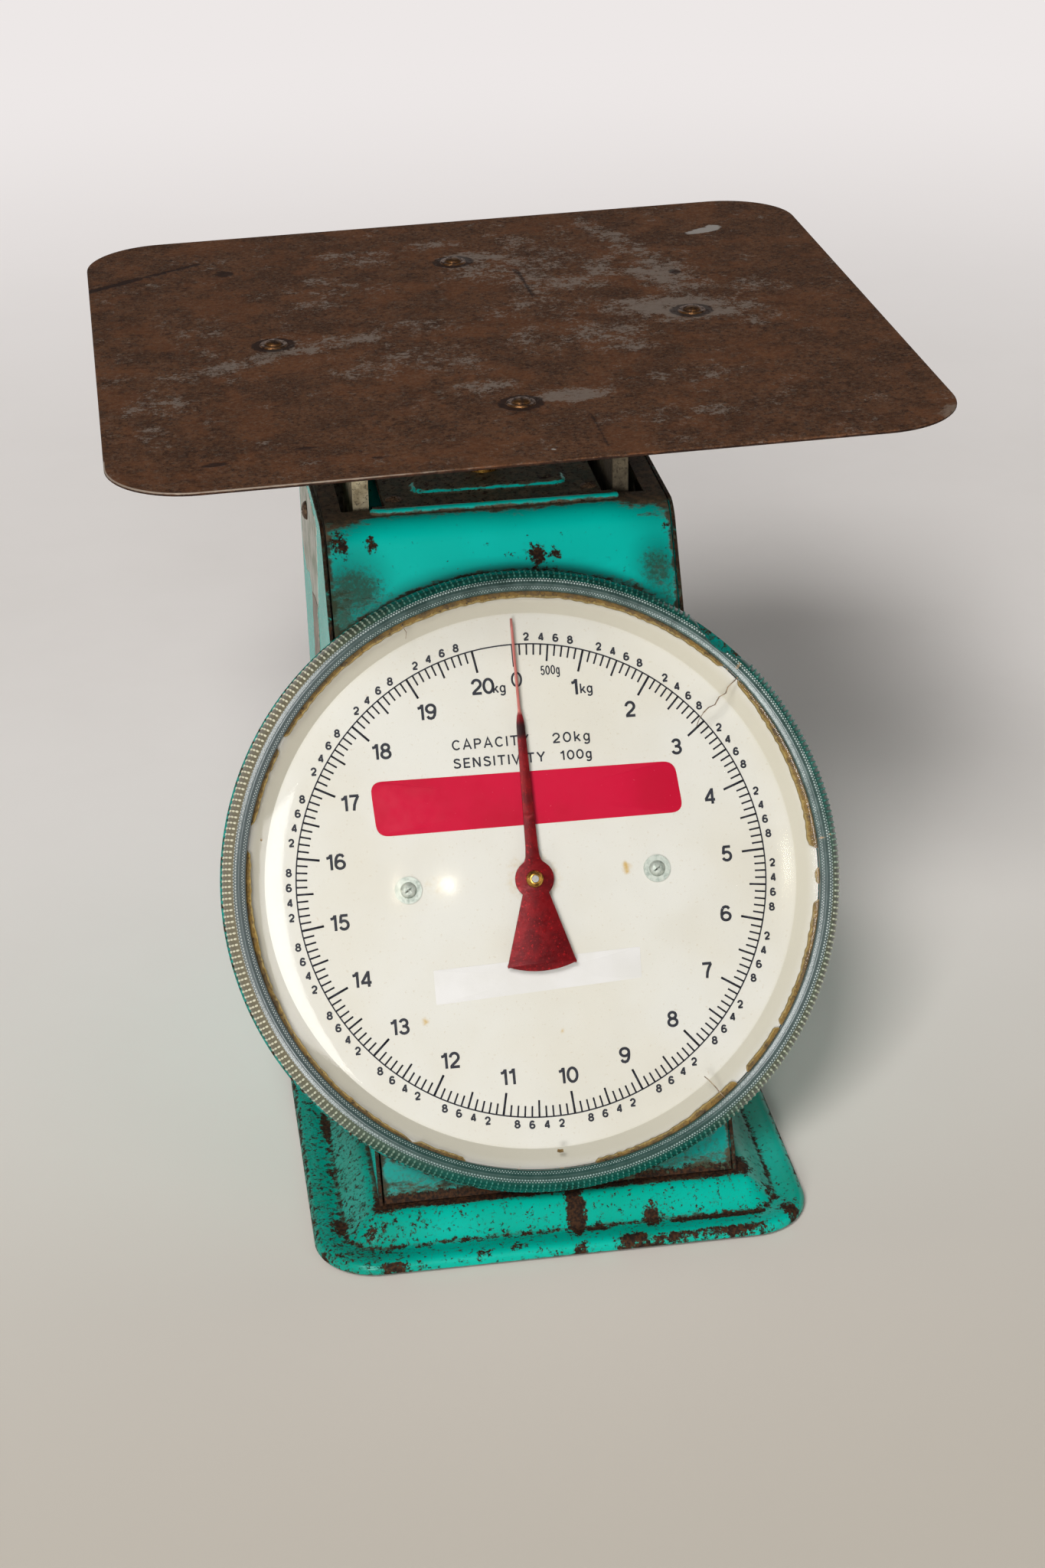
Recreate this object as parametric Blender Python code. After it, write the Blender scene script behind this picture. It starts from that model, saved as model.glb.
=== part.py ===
"""A mechanical dial platform scale, modelled piece by piece.

A sheet-steel housing with a sloping front carries a round dial. The platform rides on a sprung
carriage, two parallel arms keep the carriage upright, and a rack on it turns the pointer.
Units are metres, +Z is up, the front faces -Y, and the origin is on the ground at mid size.
"""
from math import acos, cos, pi, radians, sin, tan

import bmesh
import bpy

# Clearance between pieces that touch, and between a fastener and its hole
GAP = 0.0003
# How far a cutter runs past what it cuts, and a screw past the sheet it holds
CUT_PAST = 0.010
SCREW_GRIP = 0.002

# Platform
PLATFORM_SIZE = 0.268
PLATFORM_CORNER = 0.028
PLATFORM_SHEET = 0.0012
PLATFORM_LIP = 0.0022
PLATFORM_TOP = 0.2642
PLATFORM_SETBACK = 0.177
PLATFORM_SHIFT = 0.002
RIVET_REACH_X = 0.073
RIVET_REACH_Y = 0.080
RIVET_HEAD_RADIUS = 0.0049
RIVET_HEAD_HEIGHT = 0.0019
RIVET_SHANK_RADIUS = 0.0022
SPIDER_SHEET = 0.0025
SPIDER_ARM_WIDTH = 0.028
SPIDER_END = 0.009
SPIDER_MARGIN = 0.002

# Base pan and feet
BASE_SIDE_MARGIN = 0.0226
BASE_END_MARGIN = 0.0244
BASE_CORNER = 0.021
FLANGE_WIDTH = 0.010
FLANGE_RISE = 0.0035
FLANGE_DIP = 0.0006
FLANGE_ROLL = 0.002
PLINTH_RUN = 0.011
PLINTH_RISE = 0.0068
PAN_SHEET = 0.0012
FOOT_STAND = 0.0015
FOOT_RADIUS = 0.007
FOOT_INSET = 0.033
FOOT_ROUND = 0.001

# Housing
BODY_WIDTH = 0.1222
BODY_TOP = 0.2105
TOP_DEPTH = 0.084
SHOULDER_RADIUS = 0.010
PANEL_SHEET = 0.0012
COVER_SHEET = 0.0010
SEAM_GAP = 0.0006
SEAM_LIP = 0.0010
SLOT_SIDE = 0.005
SLOT_END = 0.0055
TOP_PLATE_SHEET = 0.0010
TOP_PLATE_STRIP = 0.0042
TOP_PLATE_BEAD = 0.0013
TOP_PLATE_BACK = 0.004
TOP_PLATE_INSET = 0.001
PAD_WIDTH = 0.053
PAD_DEPTH = 0.036
PAD_RISE = 0.0012
PAD_CORNER = 0.004
SCREW_HEAD_RADIUS = 0.0034
SCREW_HEAD_HEIGHT = 0.0016
SCREW_SHANK_RADIUS = 0.0015
SIDE_SCREW_DROP = 0.014
SIDE_SCREW_RISE = 0.026
SIDE_SCREW_BACK = 0.016

# Dial, measured along its outward axis from the printed face
DIAL_TILT = radians(30.0)
DIAL_FOOT_GAP = 0.0005
DIAL_STANDOFF = 0.00565
DIAL_FLAT_RADIUS = 0.0905
DIAL_BEVEL_RUN = 0.0057
DIAL_BEVEL_RISE = 0.0052
DIAL_SHEET = 0.0008
DIAL_SCREW_REACH = 0.0425
DIAL_WASHER_RADIUS = 0.0046
DIAL_WASHER_SHEET = 0.0006
CASING_FLANGE = 0.0054
CASING_WALL_GAP = 0.0019
CASING_FLANGE_SETBACK = 0.002
CASING_WALL_RISE = 0.0042
COVER_INSET = 0.0005
COVER_WALL = 0.0015
LENS_BACK = 0.0070
LENS_THICKNESS = 0.0020
RIM_BEAD_RISE = 0.0006
RIM_BEAD_RUN = 0.0018
RIM_SHOULDER = 0.0038
RIM_CREST = 0.0012
SEAL_LAP = 0.0012
SEAL_WIDTH = 0.0030

# Pointer
POINTER_LENGTH = 0.0886
POINTER_SHEET = 0.0008
POINTER_HEIGHT = 0.0030
NEEDLE_WIDTH = 0.0009
NEEDLE_START = 0.056
BLADE_WIDTH = 0.0048
HUB_RADIUS = 0.0066
TAIL_RADIUS = 0.031
TAIL_WIDTH = 0.0238
NUT_RADIUS = 0.0027
NUT_HEIGHT = 0.0016
SHAFT_RADIUS = 0.0012

# Rack and pinion
GEAR_MODULE = 0.0006
PINION_TEETH = 10
POINTER_SWEEP = radians(350.0)
TOOTH_FILL = 0.40
MESH_SLACK = 0.00006
PINION_FRONT = 0.028
RACK_WIDTH = 0.004
RACK_BODY = 0.0042
RACK_SPARE_TEETH = 4
RACK_MARGIN = 0.002
PINION_SPARE = 0.005
BRACKET_SHEET = 0.0020
BRACKET_OFFSET = 0.014
BRACKET_FOOT = 0.014
BRACKET_LAP = 0.002
BRACKET_HEIGHT = 0.016
BUSH_RADIUS = 0.0040
REAR_BUSH_RADIUS = 0.0030
BUSH_FLANGE = 0.002
BUSH_LENGTH = 0.003
END_PLAY = 0.001

# Chassis, arms and carriage
CHEEK_SHEET = 0.0022
CHEEK_FRONT = 0.057
CHEEK_LIP = 0.015
CHEEK_TOP_DROP = 0.008
ARM_BAR = 0.003
ARM_HEIGHT = 0.010
ARM_LENGTH = 0.050
ARM_SIDE_GAP = 0.0049
ARM_PIVOT_INSET = 0.013
ARM_UPPER_DROP = 0.0405
ARM_LOWER_RISE = 0.0475
EYE_SLACK = 0.0010
ROD_RADIUS = 0.002
POST_SHEET = 0.0048
POST_DEPTH = 0.043
POST_SIDE_GAP = 0.0016
POST_FLANGE = 0.016
YOKE_RISE = 0.0335
YOKE_HEIGHT = 0.008
YOKE_DEPTH = 0.012
RACK_BRACKET_SHEET = 0.003
RACK_BRACKET_BAR = 0.007

# Springs and zero adjustment
SPRING_REACH = 0.022
SPRING_RADIUS = 0.008
SPRING_WIRE = 0.0024
SPRING_TURNS = 16
SPRING_PITCH = 0.0037
HANGER_DROP = 0.0185
HANGER_HEIGHT = 0.006
HANGER_DEPTH = 0.010
KNOB_RADIUS = 0.00565
KNOB_HEIGHT = 0.010
KNURL_TEETH = 24
KNURL_DEPTH = 0.0004
ZERO_SCREW_RADIUS = 0.002
ZERO_SCREW_TAIL = 0.006
HANGER_END = 0.004

# Heights and depths that follow from the sizes above
RIM_FOOT = FOOT_STAND
FLANGE_TOP = RIM_FOOT + FLANGE_RISE
PLINTH_TOP = FLANGE_TOP + PLINTH_RISE
BASE_FRONT_Y = -(PLATFORM_SETBACK + PLATFORM_SIZE / 2) / 2
BODY_FRONT_Y = BASE_FRONT_Y + BASE_END_MARGIN
BODY_FOOT = PLINTH_TOP + GAP
SHOULDER_Y = BODY_FRONT_Y + (BODY_TOP - PLINTH_TOP) * tan(DIAL_TILT)
BODY_BACK_Y = SHOULDER_Y + TOP_DEPTH
BASE_BACK_Y = BODY_BACK_Y + BASE_END_MARGIN
BASE_MID_Y = (BASE_FRONT_Y + BASE_BACK_Y) / 2
BASE_HALF_X = BODY_WIDTH / 2 + BASE_SIDE_MARGIN
BASE_HALF_Y = (BASE_BACK_Y - BASE_FRONT_Y) / 2
CARRIAGE_Y = BASE_FRONT_Y + PLATFORM_SETBACK
PANEL_OUTER_X = BODY_WIDTH / 2
PANEL_INNER_X = PANEL_OUTER_X - PANEL_SHEET
COVER_EDGE_X = PANEL_INNER_X - SEAM_GAP
SCREW_HOLE_RADIUS = SCREW_SHANK_RADIUS + GAP

# The dial's radii, each outside the last
DIAL_BEVEL_RADIUS = DIAL_FLAT_RADIUS + DIAL_BEVEL_RUN
SEAL_INNER_RADIUS = DIAL_BEVEL_RADIUS - SEAL_LAP
SEAL_OUTER_RADIUS = SEAL_INNER_RADIUS + SEAL_WIDTH
CASING_WALL_INSIDE = DIAL_BEVEL_RADIUS + DIAL_SHEET + CASING_WALL_GAP
CASING_WALL_RADIUS = CASING_WALL_INSIDE + COVER_SHEET
CASING_RADIUS = CASING_WALL_RADIUS + CASING_FLANGE
COVER_RADIUS = CASING_RADIUS - COVER_INSET

# The dial's centre: the casing's flange just clears the plinth
CASING_DROP = CASING_RADIUS * cos(DIAL_TILT) + (CASING_FLANGE_SETBACK + COVER_SHEET) * sin(DIAL_TILT)
DIAL_HEIGHT = PLINTH_TOP + DIAL_FOOT_GAP + CASING_DROP
DIAL_RUN = DIAL_HEIGHT - DIAL_STANDOFF * sin(DIAL_TILT) - PLINTH_TOP
DIAL_Y = BODY_FRONT_Y + DIAL_RUN * tan(DIAL_TILT) - DIAL_STANDOFF * cos(DIAL_TILT)
CASING_BACK = -DIAL_STANDOFF + SEAM_LIP + GAP
LENS_FRONT = LENS_BACK + LENS_THICKNESS
COVER_INSIDE = -DIAL_STANDOFF - COVER_SHEET

# The pointer's gearing and the platform's travel
PINION_RADIUS = GEAR_MODULE * PINION_TEETH / 2
TOOTH_PITCH = pi * GEAR_MODULE
TRAVEL = POINTER_SWEEP * PINION_RADIUS / cos(DIAL_TILT)
RACK_TRAVEL = TRAVEL * cos(DIAL_TILT)
RACK_SETBACK = TRAVEL * sin(DIAL_TILT)
PINION_LENGTH = RACK_WIDTH + RACK_SETBACK + PINION_SPARE

# Cross positions of the mechanism, from the side panels inwards
CHEEK_OUTER_X = PANEL_INNER_X - GAP
CHEEK_INNER_X = CHEEK_OUTER_X - CHEEK_SHEET
ARM_OUTER_X = CHEEK_INNER_X - ARM_SIDE_GAP
ARM_INNER_X = ARM_OUTER_X - ARM_BAR
POST_OUTER_X = ARM_INNER_X - POST_SIDE_GAP
POST_INNER_X = POST_OUTER_X - POST_SHEET
BACK_COVER_Y = BODY_BACK_Y - COVER_SHEET
CHEEK_BACK_Y = BACK_COVER_Y - GAP

# The arms' pivots: the carriage eyes stay within EYE_SLACK of a straight vertical line
ARM_SWING = TRAVEL / ARM_LENGTH
ARM_PIVOT_Y = CHEEK_BACK_Y - ARM_PIVOT_INSET
ARM_UPPER_Z = BODY_TOP - ARM_UPPER_DROP
ARM_LOWER_Z = PLINTH_TOP + ARM_LOWER_RISE
CARRIAGE_ROD_Y = ARM_PIVOT_Y - ARM_LENGTH * (1 + cos(ARM_SWING / 2)) / 2
YOKE_FOOT = PLINTH_TOP + YOKE_RISE
YOKE_TOP = YOKE_FOOT + YOKE_HEIGHT
SPIDER_TOP = PLATFORM_TOP - PLATFORM_SHEET - GAP
SPIDER_FOOT = SPIDER_TOP - SPIDER_SHEET
POST_TOP = SPIDER_FOOT - GAP
HANGER_TOP = BODY_TOP - HANGER_DROP
HANGER_FOOT = HANGER_TOP - HANGER_HEIGHT
TOP_PLATE_FOOT = BODY_TOP + GAP
TOP_PLATE_TOP = TOP_PLATE_FOOT + TOP_PLATE_SHEET
PAD_TOP = TOP_PLATE_TOP + PAD_RISE
SLOT_FRONT_Y = CARRIAGE_Y - POST_DEPTH / 2 - SLOT_END
SLOT_BACK_Y = CARRIAGE_Y + POST_DEPTH / 2 + SLOT_END
SLOT_INNER_X = POST_INNER_X - SLOT_SIDE
SLOT_OUTER_X = POST_OUTER_X + SLOT_SIDE

# Facets on round pieces: large rings, small turned pieces and bent corners
RING_FACETS = 64
TURNED_FACETS = 12
CORNER_STEPS = 6

TEAL = ((0.0, 0.47, 0.40), 0.45, 0.0)
ZINC = ((0.55, 0.55, 0.52), 0.45, 1.0)
STEEL = ((0.42, 0.41, 0.40), 0.5, 1.0)
BROWN_STEEL = ((0.10, 0.06, 0.045), 0.6, 0.6)
BRASS = ((0.45, 0.28, 0.09), 0.4, 1.0)
CREAM = ((0.82, 0.80, 0.73), 0.4, 0.0)
CLEAR = ((0.75, 0.85, 0.83), 0.1, 0.0)
GLUE = ((0.24, 0.14, 0.05), 0.7, 0.0)
RED = ((0.35, 0.01, 0.02), 0.35, 0.3)
RUBBER = ((0.03, 0.03, 0.03), 0.8, 0.0)


def material(name, finish):
    """One piece's own Principled material from a (colour, roughness, metallic) finish."""
    colour, roughness, metallic = finish
    mat = bpy.data.materials.new(name)
    mat.use_nodes = True
    shader = mat.node_tree.nodes["Principled BSDF"]
    shader.inputs["Base Color"].default_value = (*colour, 1.0)
    shader.inputs["Roughness"].default_value = roughness
    shader.inputs["Metallic"].default_value = metallic
    return mat


def empty(name, location, tilt=0.0):
    """A named axis that moving or tilted pieces hang on."""
    axis = bpy.data.objects.new(name, None)
    axis.location = location
    axis.rotation_euler = (tilt, 0.0, 0.0)
    bpy.context.collection.objects.link(axis)
    return axis


def piece(name, bm, finish, parent=None, location=(0, 0, 0), rotation=(0, 0, 0)):
    """A finished solid as a named object with its own material."""
    bmesh.ops.recalc_face_normals(bm, faces=bm.faces)
    mesh = bpy.data.meshes.new(name)
    bm.to_mesh(mesh)
    bm.free()
    mesh.shade_smooth()
    mesh.set_sharp_from_angle(angle=radians(35))
    mesh.materials.append(material(name, finish))
    obj = bpy.data.objects.new(name, mesh)
    obj.parent = parent
    obj.location = location
    obj.rotation_euler = rotation
    bpy.context.collection.objects.link(obj)
    return obj


def helper_shape(obj, bm, operation, location=(0, 0, 0), rotation=(0, 0, 0), parent=None):
    """Cut a hidden shape out of a piece, or join it on, with a Boolean modifier."""
    name = f"{obj.name}_{operation.lower()}_{len(obj.modifiers)}"
    other = piece(name, bm, STEEL, parent, location, rotation)
    other.hide_render = True
    other.display_type = "WIRE"
    modifier = obj.modifiers.new(name, "BOOLEAN")
    modifier.operation = operation
    modifier.object = other


def cut(obj, bm, **placing):
    helper_shape(obj, bm, "DIFFERENCE", **placing)


def join(obj, bm, **placing):
    helper_shape(obj, bm, "UNION", **placing)


def loft(loops, closed=False):
    """Skin equal rings of points; the end rings are capped unless the skin closes on itself."""
    bm = bmesh.new()
    rings = [[bm.verts.new(point) for point in loop] for loop in loops]
    pairs = list(zip(rings, rings[1:]))
    if closed:
        pairs.append((rings[-1], rings[0]))
    else:
        bm.faces.new(rings[0])
        bm.faces.new(rings[-1])
    count = len(rings[0])
    for low, high in pairs:
        for i in range(count):
            j = (i + 1) % count
            bm.faces.new((low[i], low[j], high[j], high[i]))
    return bm


def prism(outline, low, high, axis="Z"):
    """Push a flat outline along an axis: (y, z) along X, (x, z) along Y or (x, y) along Z."""
    place = {
        "X": lambda a, b, c: (c, a, b),
        "Y": lambda a, b, c: (a, c, b),
        "Z": lambda a, b, c: (a, b, c),
    }[axis]
    return loft([[place(a, b, c) for a, b in outline] for c in (low, high)])


def box(x, y, z):
    """A block between two x, two y and two z values."""
    outline = [(x[0], y[0]), (x[1], y[0]), (x[1], y[1]), (x[0], y[1])]
    return prism(outline, *z)


def circle(radius, facets, centre=(0.0, 0.0)):
    steps = (2 * pi * (i + 0.5) / facets for i in range(facets))
    return [(centre[0] + radius * cos(a), centre[1] + radius * sin(a)) for a in steps]


def rod(radius, low, high, axis="Z", centre=(0.0, 0.0), facets=TURNED_FACETS):
    return prism(circle(radius, facets, centre), low, high, axis)


def turned(profile, facets=TURNED_FACETS):
    """Turn a profile of (radius, height) points round Z, from one point on the axis to the other."""
    inner = profile[1:-1]
    loops = [[(x, y, z) for x, y in circle(r, facets)] for r, z in inner]
    bm = loft(loops)
    bm.faces.ensure_lookup_table()
    caps = [face for face in bm.faces if len(face.verts) == facets and facets > 4]
    for cap, (_, height) in zip(caps, (profile[0], profile[-1])):
        fan = bmesh.ops.poke(bm, faces=[cap])
        fan["verts"][0].co.z = height
    return bm


def turned_ring(profile, facets=TURNED_FACETS):
    """Turn a closed profile of (radius, height) points that stays clear of the axis."""
    return loft([[(x, y, z) for x, y in circle(r, facets)] for r, z in profile], closed=True)


def arc(centre, radius, start, end, steps):
    """Points along an arc in a plane, from one angle to another."""
    angles = (start + (end - start) * i / steps for i in range(steps + 1))
    return [(centre[0] + radius * cos(a), centre[1] + radius * sin(a)) for a in angles]


def rounded_rectangle(half_x, half_y, radius, centre=(0.0, 0.0)):
    """A rectangle with round corners, as CORNER_STEPS points to each corner."""
    points = []
    for quarter, (sx, sy) in enumerate(((1, 1), (-1, 1), (-1, -1), (1, -1))):
        middle = (centre[0] + sx * (half_x - radius), centre[1] + sy * (half_y - radius))
        start = quarter * pi / 2
        points += arc(middle, radius, start, start + pi / 2, CORNER_STEPS)
    return points


def front_line(inset):
    """The housing's side outline at an inset from its outer face: foot, shoulder arc and top back."""
    slope = pi / 2 - DIAL_TILT
    radius = SHOULDER_RADIUS - inset
    along = SHOULDER_RADIUS * tan(slope / 2)
    middle = (SHOULDER_Y + along, BODY_TOP - SHOULDER_RADIUS)
    foot_y = BODY_FRONT_Y + (BODY_FOOT - PLINTH_TOP) * tan(DIAL_TILT) + inset / cos(DIAL_TILT)
    bend = arc(middle, radius, pi / 2 + slope, pi / 2, CORNER_STEPS)
    return [(foot_y, BODY_FOOT), *bend]


def dial_point(up, out):
    """World (y, z) of a point given along the dial's face and along its outward axis."""
    y = DIAL_Y + up * sin(DIAL_TILT) - out * cos(DIAL_TILT)
    z = DIAL_HEIGHT + up * cos(DIAL_TILT) + out * sin(DIAL_TILT)
    return y, z


def screw(name, length, parent=None, location=(0, 0, 0), rotation=(0, 0, 0), finish=STEEL):
    """A round-headed screw: its seat is at the origin and its shank runs down -Z."""
    profile = [
        (0.0, SCREW_HEAD_HEIGHT),
        (SCREW_HEAD_RADIUS * 0.55, SCREW_HEAD_HEIGHT * 0.92),
        (SCREW_HEAD_RADIUS * 0.9, SCREW_HEAD_HEIGHT * 0.5),
        (SCREW_HEAD_RADIUS, GAP),
        (SCREW_SHANK_RADIUS, GAP),
        (SCREW_SHANK_RADIUS, -length),
        (0.0, -length),
    ]
    return piece(name, turned(profile), finish, parent, location, rotation)


def base_pan():
    """Pressed pan: rolled rim, narrow flange, and a slope up to the plinth the housing stands on."""
    section = [
        (0.0, RIM_FOOT),
        (0.0, FLANGE_TOP - FLANGE_ROLL),
        (FLANGE_ROLL * 0.35, FLANGE_TOP - FLANGE_ROLL * 0.3),
        (FLANGE_ROLL, FLANGE_TOP),
        (FLANGE_WIDTH, FLANGE_TOP - FLANGE_DIP),
        (FLANGE_WIDTH + PLINTH_RUN * 0.25, FLANGE_TOP + PLINTH_RISE * 0.15),
        (FLANGE_WIDTH + PLINTH_RUN * 0.75, FLANGE_TOP + PLINTH_RISE * 0.85),
        (FLANGE_WIDTH + PLINTH_RUN, PLINTH_TOP),
    ]
    under = [(inset + PAN_SHEET, z - PAN_SHEET) for inset, z in section[3:]]
    under = [(PAN_SHEET, RIM_FOOT), (PAN_SHEET, FLANGE_TOP - FLANGE_ROLL)] + under

    def ring(inset, z):
        outline = rounded_rectangle(
            BASE_HALF_X - inset, BASE_HALF_Y - inset, max(BASE_CORNER - inset, GAP), (0.0, BASE_MID_Y)
        )
        return [(x, y, z) for x, y in outline]

    loops = [ring(*point) for point in reversed(under)] + [ring(*point) for point in section]
    piece("base_pan", loft(loops), TEAL)


def feet():
    """Rubber buffers stuck under the plinth's corners."""
    top = PLINTH_TOP - PAN_SHEET - GAP
    sole = FOOT_RADIUS - FOOT_ROUND
    profile = [(0.0, top), (FOOT_RADIUS, top), (FOOT_RADIUS, FOOT_ROUND), (sole, 0.0), (0.0, 0.0)]
    for side, x in (("left", -1), ("right", 1)):
        for end, y in (("front", -1), ("back", 1)):
            place = (x * (BASE_HALF_X - FOOT_INSET), BASE_MID_Y + y * (BASE_HALF_Y - FOOT_INSET), 0)
            piece(f"foot_{end}_{side}", turned(profile), RUBBER, location=place)


def front_cover(dial):
    """One bent sheet: the sloping front, the round shoulder and the flat top with its post slots."""
    outer = front_line(0.0) + [(BODY_BACK_Y, BODY_TOP)]
    inner = front_line(COVER_SHEET) + [(BODY_BACK_Y, BODY_TOP - COVER_SHEET)]
    cover = piece("front_cover", prism(outer + inner[::-1], -COVER_EDGE_X, COVER_EDGE_X, "X"), TEAL)
    through = (BODY_TOP - CUT_PAST, BODY_TOP + CUT_PAST)
    for side in (-1, 1):
        slot_x = sorted((side * SLOT_INNER_X, side * SLOT_OUTER_X))
        cut(cover, box(slot_x, (SLOT_FRONT_Y, SLOT_BACK_Y), through))
        hole_x = side * top_screw_x()
        cut(cover, rod(SCREW_HOLE_RADIUS, *through, centre=(hole_x, top_screw_y())))
        spot = (side * DIAL_SCREW_REACH, 0.0)
        cut(cover, rod(SCREW_HOLE_RADIUS, COVER_INSIDE - CUT_PAST, 0.0, centre=spot), parent=dial)
    cut(cover, rod(ZERO_SCREW_RADIUS + GAP, *through, centre=(0.0, CARRIAGE_Y)))
    cut(cover, rod(BUSH_RADIUS + GAP, COVER_INSIDE - CUT_PAST, 0.0), parent=dial)


def side_screw_spots():
    """(y, z) of the two screws that hold each side panel to its cheek."""
    return (
        ("upper", CARRIAGE_Y + SIDE_SCREW_BACK, BODY_TOP - SIDE_SCREW_DROP),
        ("lower", CARRIAGE_Y, PLINTH_TOP + SIDE_SCREW_RISE),
    )


def side_panels():
    """Flat side sheets with the housing's outline, their front and top edges proud of the cover."""
    outline = front_line(-SEAM_LIP) + [(BODY_BACK_Y, BODY_TOP + SEAM_LIP), (BODY_BACK_Y, BODY_FOOT)]
    turn = {-1: (0, -pi / 2, 0), 1: (0, pi / 2, 0)}
    for side, label in ((-1, "left"), (1, "right")):
        span = sorted((side * PANEL_INNER_X, side * PANEL_OUTER_X))
        panel = piece(f"{label}_side_panel", prism(outline, *span, "X"), TEAL)
        for end, y, z in side_screw_spots():
            cut(panel, rod(SCREW_HOLE_RADIUS, span[0] - CUT_PAST, span[1] + CUT_PAST, "X", (y, z)))
            length = PANEL_SHEET + GAP + CHEEK_SHEET
            seat = (side * PANEL_OUTER_X, y, z)
            screw(f"{label}_screw_{end}", length, location=seat, rotation=turn[side], finish=BROWN_STEEL)


def back_cover():
    """Flat back sheet between the side panels, held to the cheeks' lips by two screws."""
    top = BODY_TOP - COVER_SHEET - GAP
    width = (-COVER_EDGE_X, COVER_EDGE_X)
    sheet = piece("back_cover", box(width, (BACK_COVER_Y, BODY_BACK_Y), (BODY_FOOT, top)), TEAL)
    height = (BODY_FOOT + top) / 2
    for side, label in ((-1, "left"), (1, "right")):
        x = side * lip_screw_x()
        through = (BACK_COVER_Y - CUT_PAST, BODY_BACK_Y + CUT_PAST)
        cut(sheet, rod(SCREW_HOLE_RADIUS, *through, "Y", (x, height)))
        length = COVER_SHEET + GAP + CHEEK_SHEET
        screw(f"back_screw_{label}", length, location=(x, BODY_BACK_Y, height), rotation=(-pi / 2, 0, 0))


def lip_screw_x():
    return CHEEK_OUTER_X - CHEEK_SHEET - CHEEK_LIP / 2


def top_screw_x():
    return SLOT_INNER_X - SCREW_HEAD_RADIUS - 2 * GAP


def top_screw_y():
    return SLOT_FRONT_Y + SLOT_END


def top_plate():
    """Reinforcing plate between the slots, with a beaded front strip and a raised pad."""
    inner_x = SLOT_INNER_X - GAP
    ear_x = POST_INNER_X - TOP_PLATE_INSET
    strip_back = SLOT_FRONT_Y - GAP
    strip_front = strip_back - TOP_PLATE_STRIP
    back = SLOT_BACK_Y + TOP_PLATE_BACK
    outline = [
        (-ear_x, strip_front), (ear_x, strip_front), (ear_x, strip_back), (inner_x, strip_back),
        (inner_x, back), (-inner_x, back), (-inner_x, strip_back), (-ear_x, strip_back),
    ]
    plate = piece("top_plate", prism(outline, TOP_PLATE_FOOT, TOP_PLATE_TOP), TEAL)
    bead_z = TOP_PLATE_FOOT + TOP_PLATE_BEAD
    bead_end = ear_x + TOP_PLATE_INSET / 2
    bead = rod(TOP_PLATE_BEAD, -bead_end, bead_end, "X", (strip_front, bead_z))
    join(plate, bead)
    pad = rounded_rectangle(PAD_WIDTH / 2, PAD_DEPTH / 2, PAD_CORNER, (0.0, CARRIAGE_Y))
    join(plate, prism(pad, TOP_PLATE_FOOT + TOP_PLATE_SHEET / 2, PAD_TOP))
    through = (TOP_PLATE_FOOT - CUT_PAST, PAD_TOP + CUT_PAST)
    cut(plate, rod(ZERO_SCREW_RADIUS + GAP, *through, centre=(0.0, CARRIAGE_Y)))
    for side, label in ((-1, "left"), (1, "right")):
        spot = (side * top_screw_x(), top_screw_y())
        cut(plate, rod(SCREW_HOLE_RADIUS, *through, centre=spot))
        length = TOP_PLATE_SHEET + GAP + COVER_SHEET + SCREW_GRIP
        screw(f"top_plate_screw_{label}", length, location=(*spot, TOP_PLATE_TOP), finish=BROWN_STEEL)


def cheeks():
    """Chassis side plates: each has a back lip for the back cover and a foot on the plinth."""
    front = CHEEK_BACK_Y - CHEEK_LIP - CHEEK_FRONT
    top = BODY_TOP - COVER_SHEET - CHEEK_TOP_DROP
    lip_x = CHEEK_INNER_X - CHEEK_LIP
    lip_y = CHEEK_BACK_Y - CHEEK_SHEET
    height = (BODY_FOOT + BODY_TOP - COVER_SHEET - GAP) / 2
    for side, label in ((-1, "left"), (1, "right")):
        outline = [
            (CHEEK_INNER_X, front), (CHEEK_OUTER_X, front), (CHEEK_OUTER_X, CHEEK_BACK_Y),
            (lip_x, CHEEK_BACK_Y), (lip_x, lip_y), (CHEEK_INNER_X, lip_y),
        ]
        plan = [(side * x, y) for x, y in outline]
        cheek = piece(f"{label}_cheek", prism(plan, BODY_FOOT + GAP, top), ZINC)
        foot_x = sorted((side * (lip_x + CHEEK_SHEET / 2), side * (CHEEK_OUTER_X - CHEEK_SHEET / 2)))
        foot_y = (front + CHEEK_SHEET, lip_y + CHEEK_SHEET / 2)
        join(cheek, box(foot_x, foot_y, (BODY_FOOT, BODY_FOOT + CHEEK_SHEET)))
        span = sorted((side * (CHEEK_INNER_X - CUT_PAST), side * (CHEEK_OUTER_X + CUT_PAST)))
        for z in (ARM_UPPER_Z, ARM_LOWER_Z):
            cut(cheek, rod(ROD_RADIUS + GAP, *span, "X", (ARM_PIVOT_Y, z)))
        for _, y, z in side_screw_spots():
            cut(cheek, rod(SCREW_HOLE_RADIUS, *span, "X", (y, z)))
        lip_hole = (side * lip_screw_x(), height)
        cut(cheek, rod(SCREW_HOLE_RADIUS, lip_y - CUT_PAST, CHEEK_BACK_Y + CUT_PAST, "Y", lip_hole))


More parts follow.
